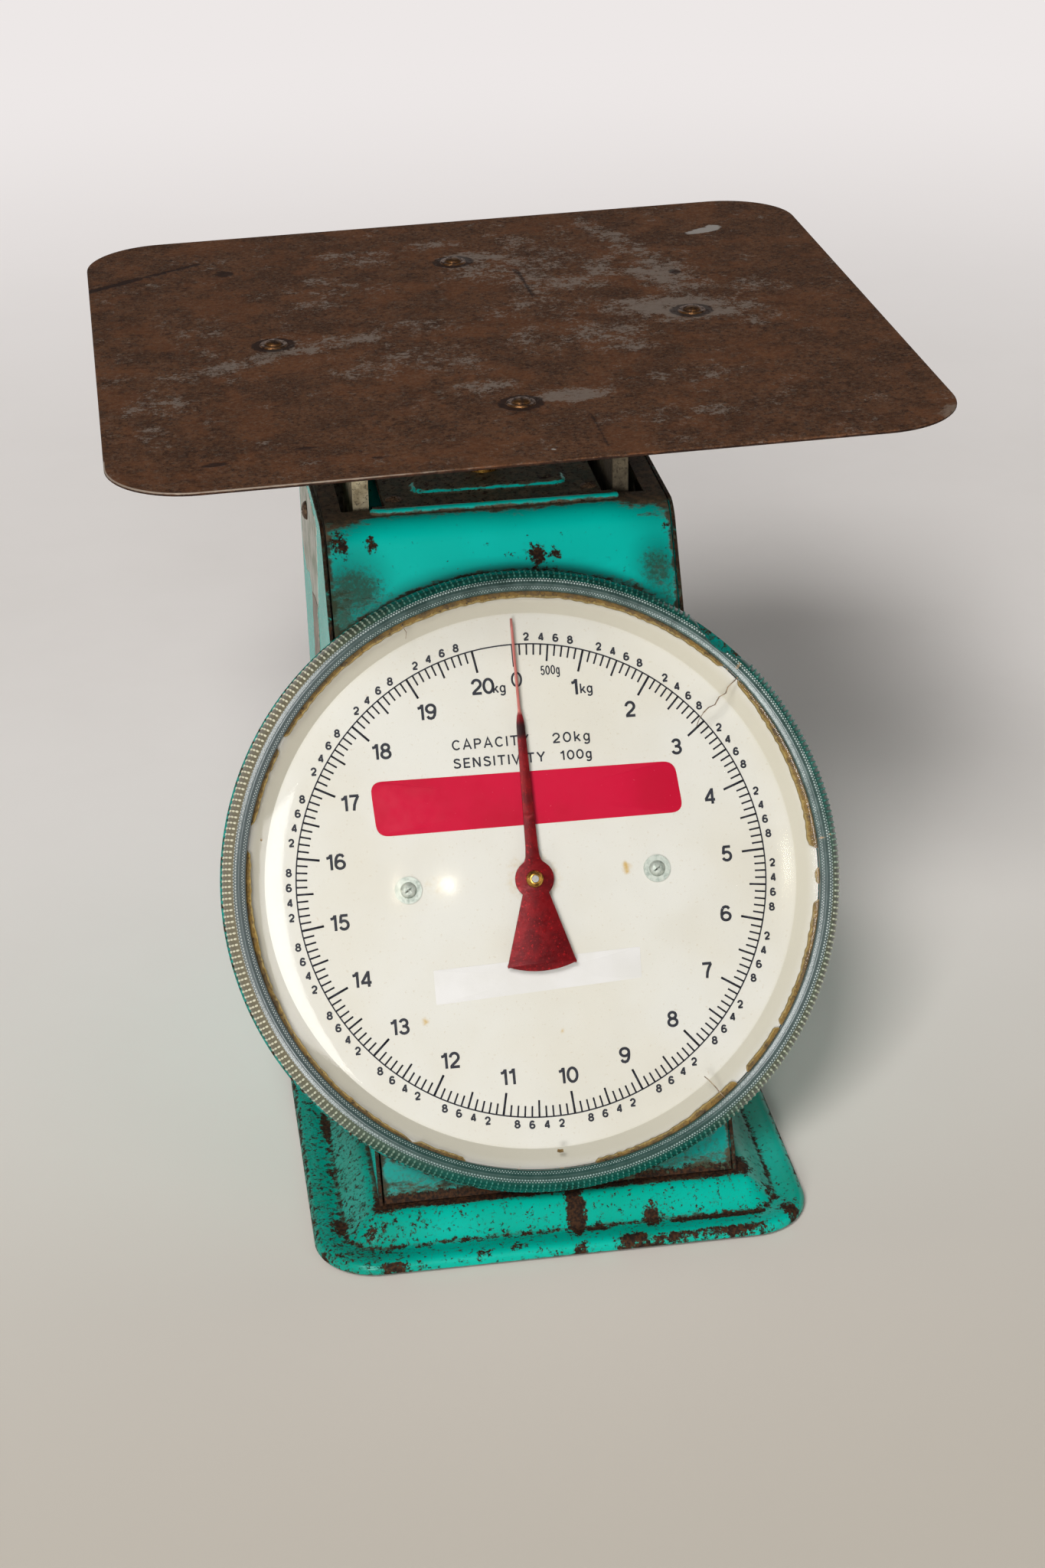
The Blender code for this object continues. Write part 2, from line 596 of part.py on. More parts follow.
def arms():
    """Two parallel arms on fixed rods; their front eyes fit loosely round the carriage's rods."""
    front = -ARM_LENGTH - ARM_HEIGHT / 2
    back = ARM_HEIGHT / 2
    bar_back = -ARM_HEIGHT / 2
    bar_front = bar_back - ARM_BAR
    outline = [
        (-ARM_OUTER_X, front), (-ARM_INNER_X, front), (-ARM_INNER_X, bar_front), (ARM_INNER_X, bar_front),
        (ARM_INNER_X, front), (ARM_OUTER_X, front), (ARM_OUTER_X, back), (ARM_INNER_X, back),
        (ARM_INNER_X, bar_back), (-ARM_INNER_X, bar_back), (-ARM_INNER_X, back), (-ARM_OUTER_X, back),
    ]
    reach = ARM_OUTER_X + CUT_PAST
    for label, height in (("upper", ARM_UPPER_Z), ("lower", ARM_LOWER_Z)):
        pivot = empty(f"{label}_arm_axis", (0.0, ARM_PIVOT_Y, height), -ARM_SWING / 2)
        arm = piece(f"{label}_arm", prism(outline, -ARM_HEIGHT / 2, ARM_HEIGHT / 2), ZINC, pivot)
        cut(arm, rod(ROD_RADIUS + GAP, -reach, reach, "X"), parent=pivot)
        eye = rod(ROD_RADIUS + EYE_SLACK, -reach, reach, "X", (-ARM_LENGTH, 0.0))
        cut(arm, eye, parent=pivot)
        length = CHEEK_OUTER_X - GAP
        fixed_rod = rod(ROD_RADIUS, -length, length, "X", (ARM_PIVOT_Y, height))
        piece(f"{label}_pivot_rod", fixed_rod, STEEL)


def carriage():
    """The sprung frame: posts with top flanges, the yoke across their feet and two cross rods."""
    post_front = CARRIAGE_Y - POST_DEPTH / 2
    post_back = CARRIAGE_Y + POST_DEPTH / 2
    yoke_z = (YOKE_FOOT + YOKE_TOP) / 2
    yoke_end = POST_INNER_X - GAP
    yoke_y = (CARRIAGE_Y - YOKE_DEPTH / 2, CARRIAGE_Y + YOKE_DEPTH / 2)
    yoke = piece("carriage_yoke", box((-yoke_end, yoke_end), yoke_y, (YOKE_FOOT, YOKE_TOP)), ZINC)
    flange_x = POST_INNER_X - POST_FLANGE
    flange_z = POST_TOP - SPIDER_SHEET
    turn = {-1: (0, -pi / 2, 0), 1: (0, pi / 2, 0)}
    for side, label in ((-1, "left"), (1, "right")):
        outline = [
            (POST_OUTER_X, YOKE_FOOT), (POST_OUTER_X, POST_TOP), (flange_x, POST_TOP),
            (flange_x, flange_z), (POST_INNER_X, flange_z), (POST_INNER_X, YOKE_FOOT),
        ]
        shape = prism([(side * x, z) for x, z in outline], post_front, post_back, "Y")
        post = piece(f"{label}_post", shape, ZINC)
        span = sorted((side * (POST_INNER_X - CUT_PAST), side * (POST_OUTER_X + CUT_PAST)))
        for z in (ARM_UPPER_Z, ARM_LOWER_Z):
            spot = (CARRIAGE_ROD_Y, z + TRAVEL / 2)
            cut(post, rod(ROD_RADIUS + GAP, *span, "X", spot))
        cut(post, rod(SCREW_HOLE_RADIUS, *span, "X", (CARRIAGE_Y, yoke_z)))
        depth = YOKE_HEIGHT
        hole = sorted((side * (yoke_end - depth), side * (yoke_end + CUT_PAST)))
        cut(yoke, rod(SCREW_HOLE_RADIUS, *hole, "X", (CARRIAGE_Y, yoke_z)))
        seat = (side * POST_OUTER_X, CARRIAGE_Y, yoke_z)
        screw(f"yoke_screw_{label}", POST_SHEET + depth - GAP, location=seat, rotation=turn[side])
        flange_hole = (side * post_screw_x(), CARRIAGE_Y)
        through = (flange_z - CUT_PAST, POST_TOP + CUT_PAST)
        cut(post, rod(SCREW_HOLE_RADIUS, *through, centre=flange_hole))
        length = SPIDER_SHEET + GAP + SPIDER_SHEET - GAP
        seat = (*flange_hole, flange_z)
        screw(f"post_screw_{label}", length, location=seat, rotation=(pi, 0, 0))
    reach = ARM_OUTER_X + ROD_RADIUS
    for label, height in (("upper", ARM_UPPER_Z), ("lower", ARM_LOWER_Z)):
        spot = (CARRIAGE_ROD_Y, height + TRAVEL / 2)
        piece(f"{label}_carriage_rod", rod(ROD_RADIUS, -reach, reach, "X", spot), STEEL)


def post_screw_x():
    return POST_INNER_X - POST_FLANGE / 2


def rivet_spots():
    """(label, x, y) of the four rivets that hold the plate on the spider, in a diamond."""
    return (
        ("front", PLATFORM_SHIFT, CARRIAGE_Y - RIVET_REACH_Y),
        ("back", PLATFORM_SHIFT, CARRIAGE_Y + RIVET_REACH_Y),
        ("left", PLATFORM_SHIFT - RIVET_REACH_X, CARRIAGE_Y),
        ("right", PLATFORM_SHIFT + RIVET_REACH_X, CARRIAGE_Y),
    )


def platform():
    """Square sheet plate with a turned-down edge, riveted to the cross-shaped spider under it."""
    half = PLATFORM_SIZE / 2

    def ring(inset, z):
        middle = (PLATFORM_SHIFT, CARRIAGE_Y)
        outline = rounded_rectangle(half - inset, half - inset, PLATFORM_CORNER - inset, middle)
        return [(x, y, z) for x, y in outline]

    edge = PLATFORM_TOP - PLATFORM_LIP
    under = PLATFORM_TOP - PLATFORM_SHEET
    loops = [
        ring(PLATFORM_LIP + PLATFORM_SHEET, under),
        ring(PLATFORM_SHEET, edge),
        ring(0.0, edge),
        ring(PLATFORM_LIP * 0.3, PLATFORM_TOP - PLATFORM_LIP * 0.3),
        ring(PLATFORM_LIP, PLATFORM_TOP),
    ]
    plate = piece("platform_plate", loft(loops), BROWN_STEEL)
    arm = SPIDER_ARM_WIDTH / 2
    wide = POST_DEPTH / 2 + SPIDER_MARGIN
    end_x = RIVET_REACH_X + PLATFORM_SHIFT + SPIDER_END
    end_y = RIVET_REACH_Y + SPIDER_END
    cross = [
        (end_x, -wide), (end_x, wide), (arm, wide), (arm, end_y), (-arm, end_y), (-arm, wide),
        (-end_x, wide), (-end_x, -wide), (-arm, -wide), (-arm, -end_y), (arm, -end_y), (arm, -wide),
    ]
    cross = [(x, CARRIAGE_Y + y) for x, y in cross]
    spider = piece("platform_spider", prism(cross, SPIDER_FOOT, SPIDER_TOP), ZINC)
    tail = SPIDER_FOOT - PLATFORM_TOP - GAP
    profile = [
        (0.0, RIVET_HEAD_HEIGHT),
        (RIVET_HEAD_RADIUS * 0.5, RIVET_HEAD_HEIGHT * 0.9),
        (RIVET_HEAD_RADIUS * 0.85, RIVET_HEAD_HEIGHT * 0.55),
        (RIVET_HEAD_RADIUS, GAP),
        (RIVET_SHANK_RADIUS, GAP),
        (RIVET_SHANK_RADIUS, tail),
        (RIVET_HEAD_RADIUS * 0.75, tail),
        (RIVET_HEAD_RADIUS * 0.6, tail - RIVET_HEAD_HEIGHT * 0.8),
        (0.0, tail - RIVET_HEAD_HEIGHT * 0.9),
    ]
    through = (SPIDER_FOOT - CUT_PAST, PLATFORM_TOP + CUT_PAST)
    for label, x, y in rivet_spots():
        for sheet in (plate, spider):
            cut(sheet, rod(RIVET_SHANK_RADIUS + GAP, *through, centre=(x, y)))
        piece(f"rivet_{label}", turned(profile), BRASS, location=(x, y, PLATFORM_TOP))
    for side in (-1, 1):
        spot = (side * post_screw_x(), CARRIAGE_Y)
        cut(spider, rod(SCREW_HOLE_RADIUS, *through, centre=spot))


def dial_case(dial):
    """Shallow steel dish on the sloping front: back disc, upright wall and outer flange."""
    sheet = COVER_SHEET
    front = CASING_BACK + sheet
    wall_in = CASING_WALL_INSIDE
    flange = -CASING_FLANGE_SETBACK
    profile = [
        (BUSH_RADIUS + GAP, front),
        (wall_in, front),
        (wall_in, CASING_WALL_RISE),
        (CASING_WALL_RADIUS, CASING_WALL_RISE),
        (CASING_WALL_RADIUS, flange),
        (CASING_RADIUS, flange),
        (CASING_RADIUS, flange - sheet),
        (CASING_WALL_RADIUS, flange - sheet),
        (wall_in - sheet, CASING_BACK),
        (BUSH_RADIUS + GAP, CASING_BACK),
    ]
    case = piece("dial_casing", turned_ring(profile, RING_FACETS), TEAL, dial)
    for side in (-1, 1):
        spot = (side * DIAL_SCREW_REACH, 0.0)
        boss = rod(DIAL_WASHER_RADIUS, front - sheet / 2, -DIAL_SHEET - GAP, centre=spot)
        join(case, boss, parent=dial)
        cut(case, rod(SCREW_HOLE_RADIUS, CASING_BACK - CUT_PAST, CUT_PAST, centre=spot), parent=dial)


def dial_face(dial):
    """Printed plate with a bevelled rim, held by two screws with captive washers."""
    profile = [
        (BUSH_RADIUS + GAP, 0.0),
        (DIAL_FLAT_RADIUS, 0.0),
        (DIAL_BEVEL_RADIUS, DIAL_BEVEL_RISE),
        (DIAL_BEVEL_RADIUS + DIAL_SHEET, DIAL_BEVEL_RISE),
        (DIAL_FLAT_RADIUS + DIAL_SHEET, -DIAL_SHEET),
        (BUSH_RADIUS + GAP, -DIAL_SHEET),
    ]
    plate = piece("dial_plate", turned_ring(profile, RING_FACETS), CREAM, dial)
    head = SCREW_HEAD_RADIUS * 0.8
    washer = GAP + DIAL_WASHER_SHEET
    shank = DIAL_STANDOFF + COVER_SHEET + SCREW_GRIP
    profile = [
        (0.0, washer + SCREW_HEAD_HEIGHT),
        (head * 0.6, washer + SCREW_HEAD_HEIGHT * 0.9),
        (head, washer + SCREW_HEAD_HEIGHT * 0.4),
        (head, washer),
        (DIAL_WASHER_RADIUS, washer),
        (DIAL_WASHER_RADIUS, GAP),
        (SCREW_SHANK_RADIUS, GAP),
        (SCREW_SHANK_RADIUS, -shank),
        (0.0, -shank),
    ]
    for side, label in ((-1, "left"), (1, "right")):
        x = side * DIAL_SCREW_REACH
        cut(plate, rod(SCREW_HOLE_RADIUS, -CUT_PAST, CUT_PAST, centre=(x, 0.0)), parent=dial)
        piece(f"dial_screw_{label}", turned(profile), ZINC, dial, (x, 0.0, 0.0))


def dial_cover(dial):
    """Clear moulding: flat lens, raised rim bead, sloping shoulder and a skirt on the casing's flange."""
    bead = LENS_FRONT + RIM_BEAD_RISE
    skirt = GAP - CASING_FLANGE_SETBACK
    inside = COVER_RADIUS - COVER_WALL
    shoulder = LENS_FRONT * 0.4
    profile = [
        (0.0, LENS_FRONT),
        (DIAL_BEVEL_RADIUS, LENS_FRONT),
        (DIAL_BEVEL_RADIUS + RIM_BEAD_RUN, bead),
        (COVER_RADIUS - RIM_SHOULDER, bead),
        (COVER_RADIUS - RIM_CREST, (bead + shoulder) / 2),
        (COVER_RADIUS, shoulder),
        (COVER_RADIUS, skirt),
        (inside, skirt),
        (inside, shoulder),
        (inside - RIM_SHOULDER, LENS_BACK),
        (0.0, LENS_BACK),
    ]
    piece("clear_cover", turned(profile, RING_FACETS), CLEAR, dial)
    low = DIAL_BEVEL_RISE + GAP
    high = LENS_BACK - GAP
    ring = [
        (SEAL_INNER_RADIUS, low), (SEAL_INNER_RADIUS, high),
        (SEAL_OUTER_RADIUS, high), (SEAL_OUTER_RADIUS, low),
    ]
    piece("cover_seal", turned_ring(ring, RING_FACETS), GLUE, dial)


def pointer_outline():
    """Needle, blade, round hub and fan tail, drawn pointing to zero."""
    needle = NEEDLE_WIDTH / 2
    blade = BLADE_WIDTH / 2
    hub_angle = acos(blade / HUB_RADIUS)
    tail_half = TAIL_WIDTH / 2
    tail_y = -(TAIL_RADIUS**2 - tail_half**2) ** 0.5
    hub = arc((0.0, 0.0), HUB_RADIUS, hub_angle, -hub_angle, 8)
    right = [(needle * 0.7, POINTER_LENGTH), (needle, NEEDLE_START), *hub, (tail_half, tail_y)]
    sweep = acos(tail_half / TAIL_RADIUS)
    fan = arc((0.0, 0.0), TAIL_RADIUS, -sweep, -pi + sweep, 8)[1:-1]
    return right + fan + [(-x, y) for x, y in reversed(right)]


def pointer_group(dial):
    """Pointer, hub nut, shaft and pinion: all turn together on the dial's axis."""
    top = POINTER_HEIGHT + POINTER_SHEET
    bore = SHAFT_RADIUS + GAP
    hand = piece("pointer", prism(pointer_outline(), POINTER_HEIGHT, top), RED, dial)
    cut(hand, rod(bore, POINTER_HEIGHT - CUT_PAST, top + CUT_PAST), parent=dial)
    nut_low = top + GAP
    nut_high = nut_low + NUT_HEIGHT
    nut = [(bore, nut_low), (bore, nut_high), (NUT_RADIUS * 0.85, nut_high), (NUT_RADIUS, nut_low)]
    piece("pointer_nut", turned_ring(nut), BRASS, dial)
    shaft_back = -PINION_FRONT - PINION_LENGTH - 2 * END_PLAY - BRACKET_SHEET
    piece("pointer_shaft", rod(SHAFT_RADIUS, shaft_back, nut_high), STEEL, dial)
    outer = PINION_RADIUS + 0.8 * GEAR_MODULE
    root = PINION_RADIUS - 1.2 * GEAR_MODULE
    pitch_half = TOOTH_FILL * TOOTH_PITCH / 2 / PINION_RADIUS
    outline = []
    for tooth in range(PINION_TEETH):
        middle = 2 * pi * (tooth + 0.5) / PINION_TEETH
        rise = ((root, -1.7), (PINION_RADIUS, -1.0), (outer, -0.5))
        flanks = rise + tuple((r, -share) for r, share in reversed(rise))
        for r, share in flanks:
            angle = middle + share * pitch_half
            outline.append((r * cos(angle), r * sin(angle)))
    gear = piece("pinion", prism(outline, -PINION_FRONT - PINION_LENGTH, -PINION_FRONT), BRASS, dial)
    cut(gear, rod(bore, -PINION_FRONT - PINION_LENGTH - CUT_PAST, -PINION_FRONT + CUT_PAST), parent=dial)


def rack_span():
    """How far the rack reaches below and above the pinion, along the dial's face."""
    below = RACK_SPARE_TEETH / 2 * TOOTH_PITCH
    return -below, below + RACK_TRAVEL


def rack_group(dial):
    """Toothed rack beside the pinion, on a bracket that reaches forward from the carriage's yoke."""
    low, high = rack_span()
    pitch_x = PINION_RADIUS + MESH_SLACK
    tip_x = pitch_x - 0.8 * GEAR_MODULE
    root_x = pitch_x + 1.2 * GEAR_MODULE
    back_x = root_x + RACK_BODY
    half = TOOTH_FILL * TOOTH_PITCH / 2
    flank = tan(radians(20))
    tip_half = half - (pitch_x - tip_x) * flank
    root_half = half + (root_x - pitch_x) * flank
    first = -RACK_SPARE_TEETH // 2
    last = int(high / TOOTH_PITCH)
    outline = [(back_x, high), (back_x, low - TOOTH_PITCH / 2), (root_x, low - TOOTH_PITCH / 2)]
    for tooth in range(first, last):
        y = tooth * TOOTH_PITCH
        outline += [(root_x, y - root_half), (tip_x, y - tip_half)]
        outline += [(tip_x, y + tip_half), (root_x, y + root_half)]
    outline.append((root_x, high))
    front = -PINION_FRONT - RACK_MARGIN
    piece("rack", prism(outline, front - RACK_WIDTH, front), STEEL, dial)
    strip_front = front + RACK_MARGIN
    strip_back = front - RACK_WIDTH - RACK_MARGIN
    bar_low = (YOKE_FOOT + YOKE_TOP - RACK_BRACKET_BAR) / 2
    bar_high = bar_low + RACK_BRACKET_BAR
    drop_front = (bar_low - DIAL_HEIGHT - strip_front * sin(DIAL_TILT)) / cos(DIAL_TILT)
    drop_back = (bar_high - DIAL_HEIGHT - strip_back * sin(DIAL_TILT)) / cos(DIAL_TILT)
    root_y = CARRIAGE_Y - YOKE_DEPTH / 2 - GAP
    shape = [
        (root_y, bar_low), (root_y, bar_high), dial_point(drop_back, strip_back),
        dial_point(high + RACK_MARGIN, strip_back), dial_point(high + RACK_MARGIN, strip_front),
        dial_point(drop_front, strip_front),
    ]
    x = back_x + GAP
    piece("rack_bracket", prism(shape, x, x + RACK_BRACKET_SHEET, "X"), ZINC)


def shaft_support(dial):
    """Bent bracket behind the front sheet with the rear bush, and the flanged front bush."""
    bore = SHAFT_RADIUS + GAP
    flange = COVER_INSIDE - GAP
    plate_front = -PINION_FRONT - PINION_LENGTH - END_PLAY
    plate_back = plate_front - BRACKET_SHEET
    leg = -BRACKET_OFFSET
    far = leg - BRACKET_SHEET
    tab = leg - BRACKET_FOOT
    end = BUSH_RADIUS + BRACKET_LAP
    outline = [
        (tab, flange), (leg, flange), (leg, plate_front), (end, plate_front), (end, plate_back),
        (far, plate_back), (far, flange - BRACKET_SHEET), (tab, flange - BRACKET_SHEET),
    ]
    half = BRACKET_HEIGHT / 2
    shape = prism(outline, -half, half, "Y")
    bracket = piece("shaft_bracket", shape, ZINC, dial)
    cut(bracket, rod(REAR_BUSH_RADIUS + GAP, plate_back - CUT_PAST, plate_front + END_PLAY), parent=dial)
    rear = REAR_BUSH_RADIUS
    low = plate_back - END_PLAY / 2
    high = plate_front + END_PLAY / 2
    piece("rear_bush", turned_ring([(bore, low), (bore, high), (rear, high), (rear, low)]), BRASS, dial)
    face = CASING_BACK + COVER_SHEET + GAP
    flange_front = face + END_PLAY
    back = COVER_INSIDE - BUSH_LENGTH
    profile = [
        (bore, back), (bore, flange_front), (BUSH_RADIUS + BUSH_FLANGE, flange_front),
        (BUSH_RADIUS + BUSH_FLANGE, face), (BUSH_RADIUS, face), (BUSH_RADIUS, back),
    ]
    piece("front_bush", turned_ring(profile), BRASS, dial)


def spring_points(length):
    """A coil with straight hooks along its axis, hung from its top end at the origin."""
    coil = SPRING_TURNS * SPRING_PITCH
    stub = (length - coil) / 2
    steps = SPRING_TURNS * 8
    points = [(0.0, 0.0, 0.0), (0.0, 0.0, -stub + SPRING_PITCH)]
    for i in range(steps + 1):
        turn = i / 8
        ramp = min(1.0, turn + 0.25, SPRING_TURNS - turn + 0.25)
        angle = 2 * pi * turn
        radius = SPRING_RADIUS * ramp
        points.append((radius * cos(angle), radius * sin(angle), -stub - i / steps * coil))
    points += [(0.0, 0.0, -length + stub - SPRING_PITCH), (0.0, 0.0, -length)]
    return points


def springs():
    """The pair of main springs, hung from the hanger and hooked on the yoke."""
    top = HANGER_FOOT - GAP
    length = top - YOKE_TOP - GAP
    for side, label in ((-1, "left"), (1, "right")):
        curve = bpy.data.curves.new(f"{label}_spring", "CURVE")
        curve.dimensions = "3D"
        curve.bevel_depth = SPRING_WIRE / 2
        curve.bevel_resolution = 1
        curve.resolution_u = 1
        curve.render_resolution_u = 0
        curve.use_fill_caps = True
        line = curve.splines.new("POLY")
        points = spring_points(length)
        line.points.add(len(points) - 1)
        for spot, co in zip(line.points, points):
            spot.co = (*co, 1.0)
        curve.materials.append(material(f"{label}_spring", STEEL))
        spring = bpy.data.objects.new(f"{label}_spring", curve)
        spring.location = (side * SPRING_REACH, CARRIAGE_Y, top)
        bpy.context.collection.objects.link(spring)


def zero_adjuster():
    """Knurled knob on a threaded screw that raises and lowers the springs' hanger."""
    axis = empty("zero_axis", (0.0, CARRIAGE_Y, PAD_TOP + GAP))
    outline = []
    for i in range(2 * KNURL_TEETH):
        radius = KNOB_RADIUS - KNURL_DEPTH * (i % 2)
        angle = pi * i / KNURL_TEETH
        outline.append((radius * cos(angle), radius * sin(angle)))
    knob = piece("zero_knob", prism(outline, 0.0, KNOB_HEIGHT), BRASS, axis)
    socket = KNOB_HEIGHT * 0.6
    cut(knob, rod(ZERO_SCREW_RADIUS + GAP, -CUT_PAST, socket), parent=axis)
    foot = HANGER_FOOT - ZERO_SCREW_TAIL - PAD_TOP - GAP
    piece("zero_screw", rod(ZERO_SCREW_RADIUS, foot, socket - GAP), STEEL, axis)
    end = SPRING_REACH + SPRING_WIRE + HANGER_END
    depth = (CARRIAGE_Y - HANGER_DEPTH / 2, CARRIAGE_Y + HANGER_DEPTH / 2)
    hanger = piece("spring_hanger", box((-end, end), depth, (HANGER_FOOT, HANGER_TOP)), ZINC)
    through = (HANGER_FOOT - CUT_PAST, HANGER_TOP + CUT_PAST)
    cut(hanger, rod(ZERO_SCREW_RADIUS + GAP, *through, centre=(0.0, CARRIAGE_Y)))


for old in list(bpy.data.objects):
    bpy.data.objects.remove(old, do_unlink=True)

dial_axis = empty("dial_axis", (0.0, DIAL_Y, DIAL_HEIGHT), pi / 2 - DIAL_TILT)
base_pan()
feet()
front_cover(dial_axis)
side_panels()
back_cover()
top_plate()
cheeks()
arms()
carriage()
platform()
dial_case(dial_axis)
dial_face(dial_axis)
dial_cover(dial_axis)
pointer_group(dial_axis)
rack_group(dial_axis)
shaft_support(dial_axis)
springs()
zero_adjuster()
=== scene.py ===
from math import atan2, cos, hypot, pi, radians, sin, tan

import bmesh
import bpy
import numpy as np
from mathutils import Matrix, Vector


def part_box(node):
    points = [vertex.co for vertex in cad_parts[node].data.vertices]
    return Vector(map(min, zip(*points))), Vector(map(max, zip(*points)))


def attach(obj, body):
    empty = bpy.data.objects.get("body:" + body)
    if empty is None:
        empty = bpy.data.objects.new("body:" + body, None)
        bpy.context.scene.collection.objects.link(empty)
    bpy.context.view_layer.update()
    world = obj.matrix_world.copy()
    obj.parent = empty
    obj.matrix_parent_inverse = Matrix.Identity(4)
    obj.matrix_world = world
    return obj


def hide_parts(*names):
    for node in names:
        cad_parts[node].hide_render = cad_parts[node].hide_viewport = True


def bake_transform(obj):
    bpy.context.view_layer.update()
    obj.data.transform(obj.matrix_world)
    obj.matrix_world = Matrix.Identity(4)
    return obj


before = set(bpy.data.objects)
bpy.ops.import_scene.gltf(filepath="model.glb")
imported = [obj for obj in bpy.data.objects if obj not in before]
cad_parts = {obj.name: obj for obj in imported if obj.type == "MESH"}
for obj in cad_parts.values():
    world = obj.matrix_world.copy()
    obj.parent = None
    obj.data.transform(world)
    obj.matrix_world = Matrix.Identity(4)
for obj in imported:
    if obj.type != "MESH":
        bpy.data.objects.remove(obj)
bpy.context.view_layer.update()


# Base pan
# One steel sheet pressed into a shallow pan: a rolled rim, a narrow valley and a slope up to the
# plinth. It is stove-enamelled teal; rust has lifted the enamel in the valley and round the body.
def paint(red, green, blue):
    """A colour read off the object (0 to 255) as Blender's linear values."""
    tones = [tone / 255 for tone in (red, green, blue)]
    return (*(t / 12.92 if t <= 0.04045 else ((t + 0.055) / 1.055) ** 2.4 for t in tones), 1.0)


def add_node(tree, kind, inputs, output=0, **settings):
    """Add a node, set it up, and feed each input from a value or from other nodes' outputs."""
    made = tree.nodes.new(kind)
    for name, value in settings.items():
        setattr(made, name, value)
    for key, value in inputs.items():
        for source in value if isinstance(value, list) else [value]:
            if isinstance(source, bpy.types.NodeSocket):
                tree.links.new(source, made.inputs[key])
            else:
                made.inputs[key].default_value = source
    return made.outputs[output]


class Finish:
    """A Principled surface laid up in coats; every coat reads the piece's own Object coordinates."""

    def __init__(self, name, **constants):
        self.material = bpy.data.materials.new(name)
        self.material.use_nodes = True
        self.tree = self.material.node_tree
        self.shader = self.tree.nodes["Principled BSDF"]
        self.spot = self.tree.nodes.new("ShaderNodeTexCoord").outputs["Object"]
        for socket, value in constants.items():
            self.shader.inputs[socket.replace("_", " ")].default_value = value

    def add(self, kind, inputs, output=0, **settings):
        """A node in this finish."""
        return add_node(self.tree, kind, inputs, output, **settings)

    def placed(self, size, stretch, seed):
        """The piece's coordinates counted in a pattern's own size, and shifted by its seed."""
        scale = tuple(1000 / size / s for s in stretch)
        return self.add(
            "ShaderNodeMapping",
            {"Vector": self.spot, "Location": (seed, seed * 1.7, -seed), "Scale": scale},
        )

    def cloud(self, size, detail=3.0, rough=0.55, stretch=(1, 1, 1), seed=0.0):
        """Soft noise whose patches are about size millimetres across."""
        vector = self.placed(size, stretch, seed)
        return self.add(
            "ShaderNodeTexNoise", {"Vector": vector, "Scale": 1.0, "Detail": detail, "Roughness": rough},
        )

    def cells(self, size):
        """Crystal-like cells about size millimetres across."""
        vector = self.placed(size, (1, 1, 1), 0.0)
        return self.add("ShaderNodeTexVoronoi", {"Vector": vector, "Scale": 1.0}, "Color")

    def level(self, value, low, high, to_low=0.0, to_high=1.0):
        """A value eased from one span to another."""
        return self.add(
            "ShaderNodeMapRange",
            {"Value": value, "From Min": low, "From Max": high, "To Min": to_low, "To Max": to_high},
            interpolation_type="SMOOTHSTEP",
        )

    def sums(self, operation, a, b):
        """One step of arithmetic."""
        return self.add("ShaderNodeMath", {0: a, 1: b}, operation=operation)

    def mixed(self, amount, under, over):
        """One colour over another, by an amount."""
        return self.add("ShaderNodeMix", {0: amount, 6: under, 7: over}, 2, data_type="RGBA")

    def mark(self, name):
        """A wear mark kept on the piece's own points."""
        return self.add("ShaderNodeAttribute", {}, "Fac", attribute_name=name)

    def ragged(self, mark, noise, reach, low, high):
        """A mark whose edge is broken up by noise."""
        frayed = self.add("ShaderNodeMath", {0: noise, 1: reach, 2: mark}, operation="MULTIPLY_ADD")
        return self.level(frayed, low + reach / 2, high + reach / 2)

    def lay(self, **coats):
        """Join coats to the sockets that they are named for."""
        for socket, value in coats.items():
            self.tree.links.new(value, self.shader.inputs[socket.replace("_", " ")])

    def bumps(self, height, millimetres, strength=1.0):
        """Fine relief of a given depth."""
        distance = {"Height": height, "Distance": millimetres / 1000, "Strength": strength}
        self.lay(Normal=self.add("ShaderNodeBump", distance))


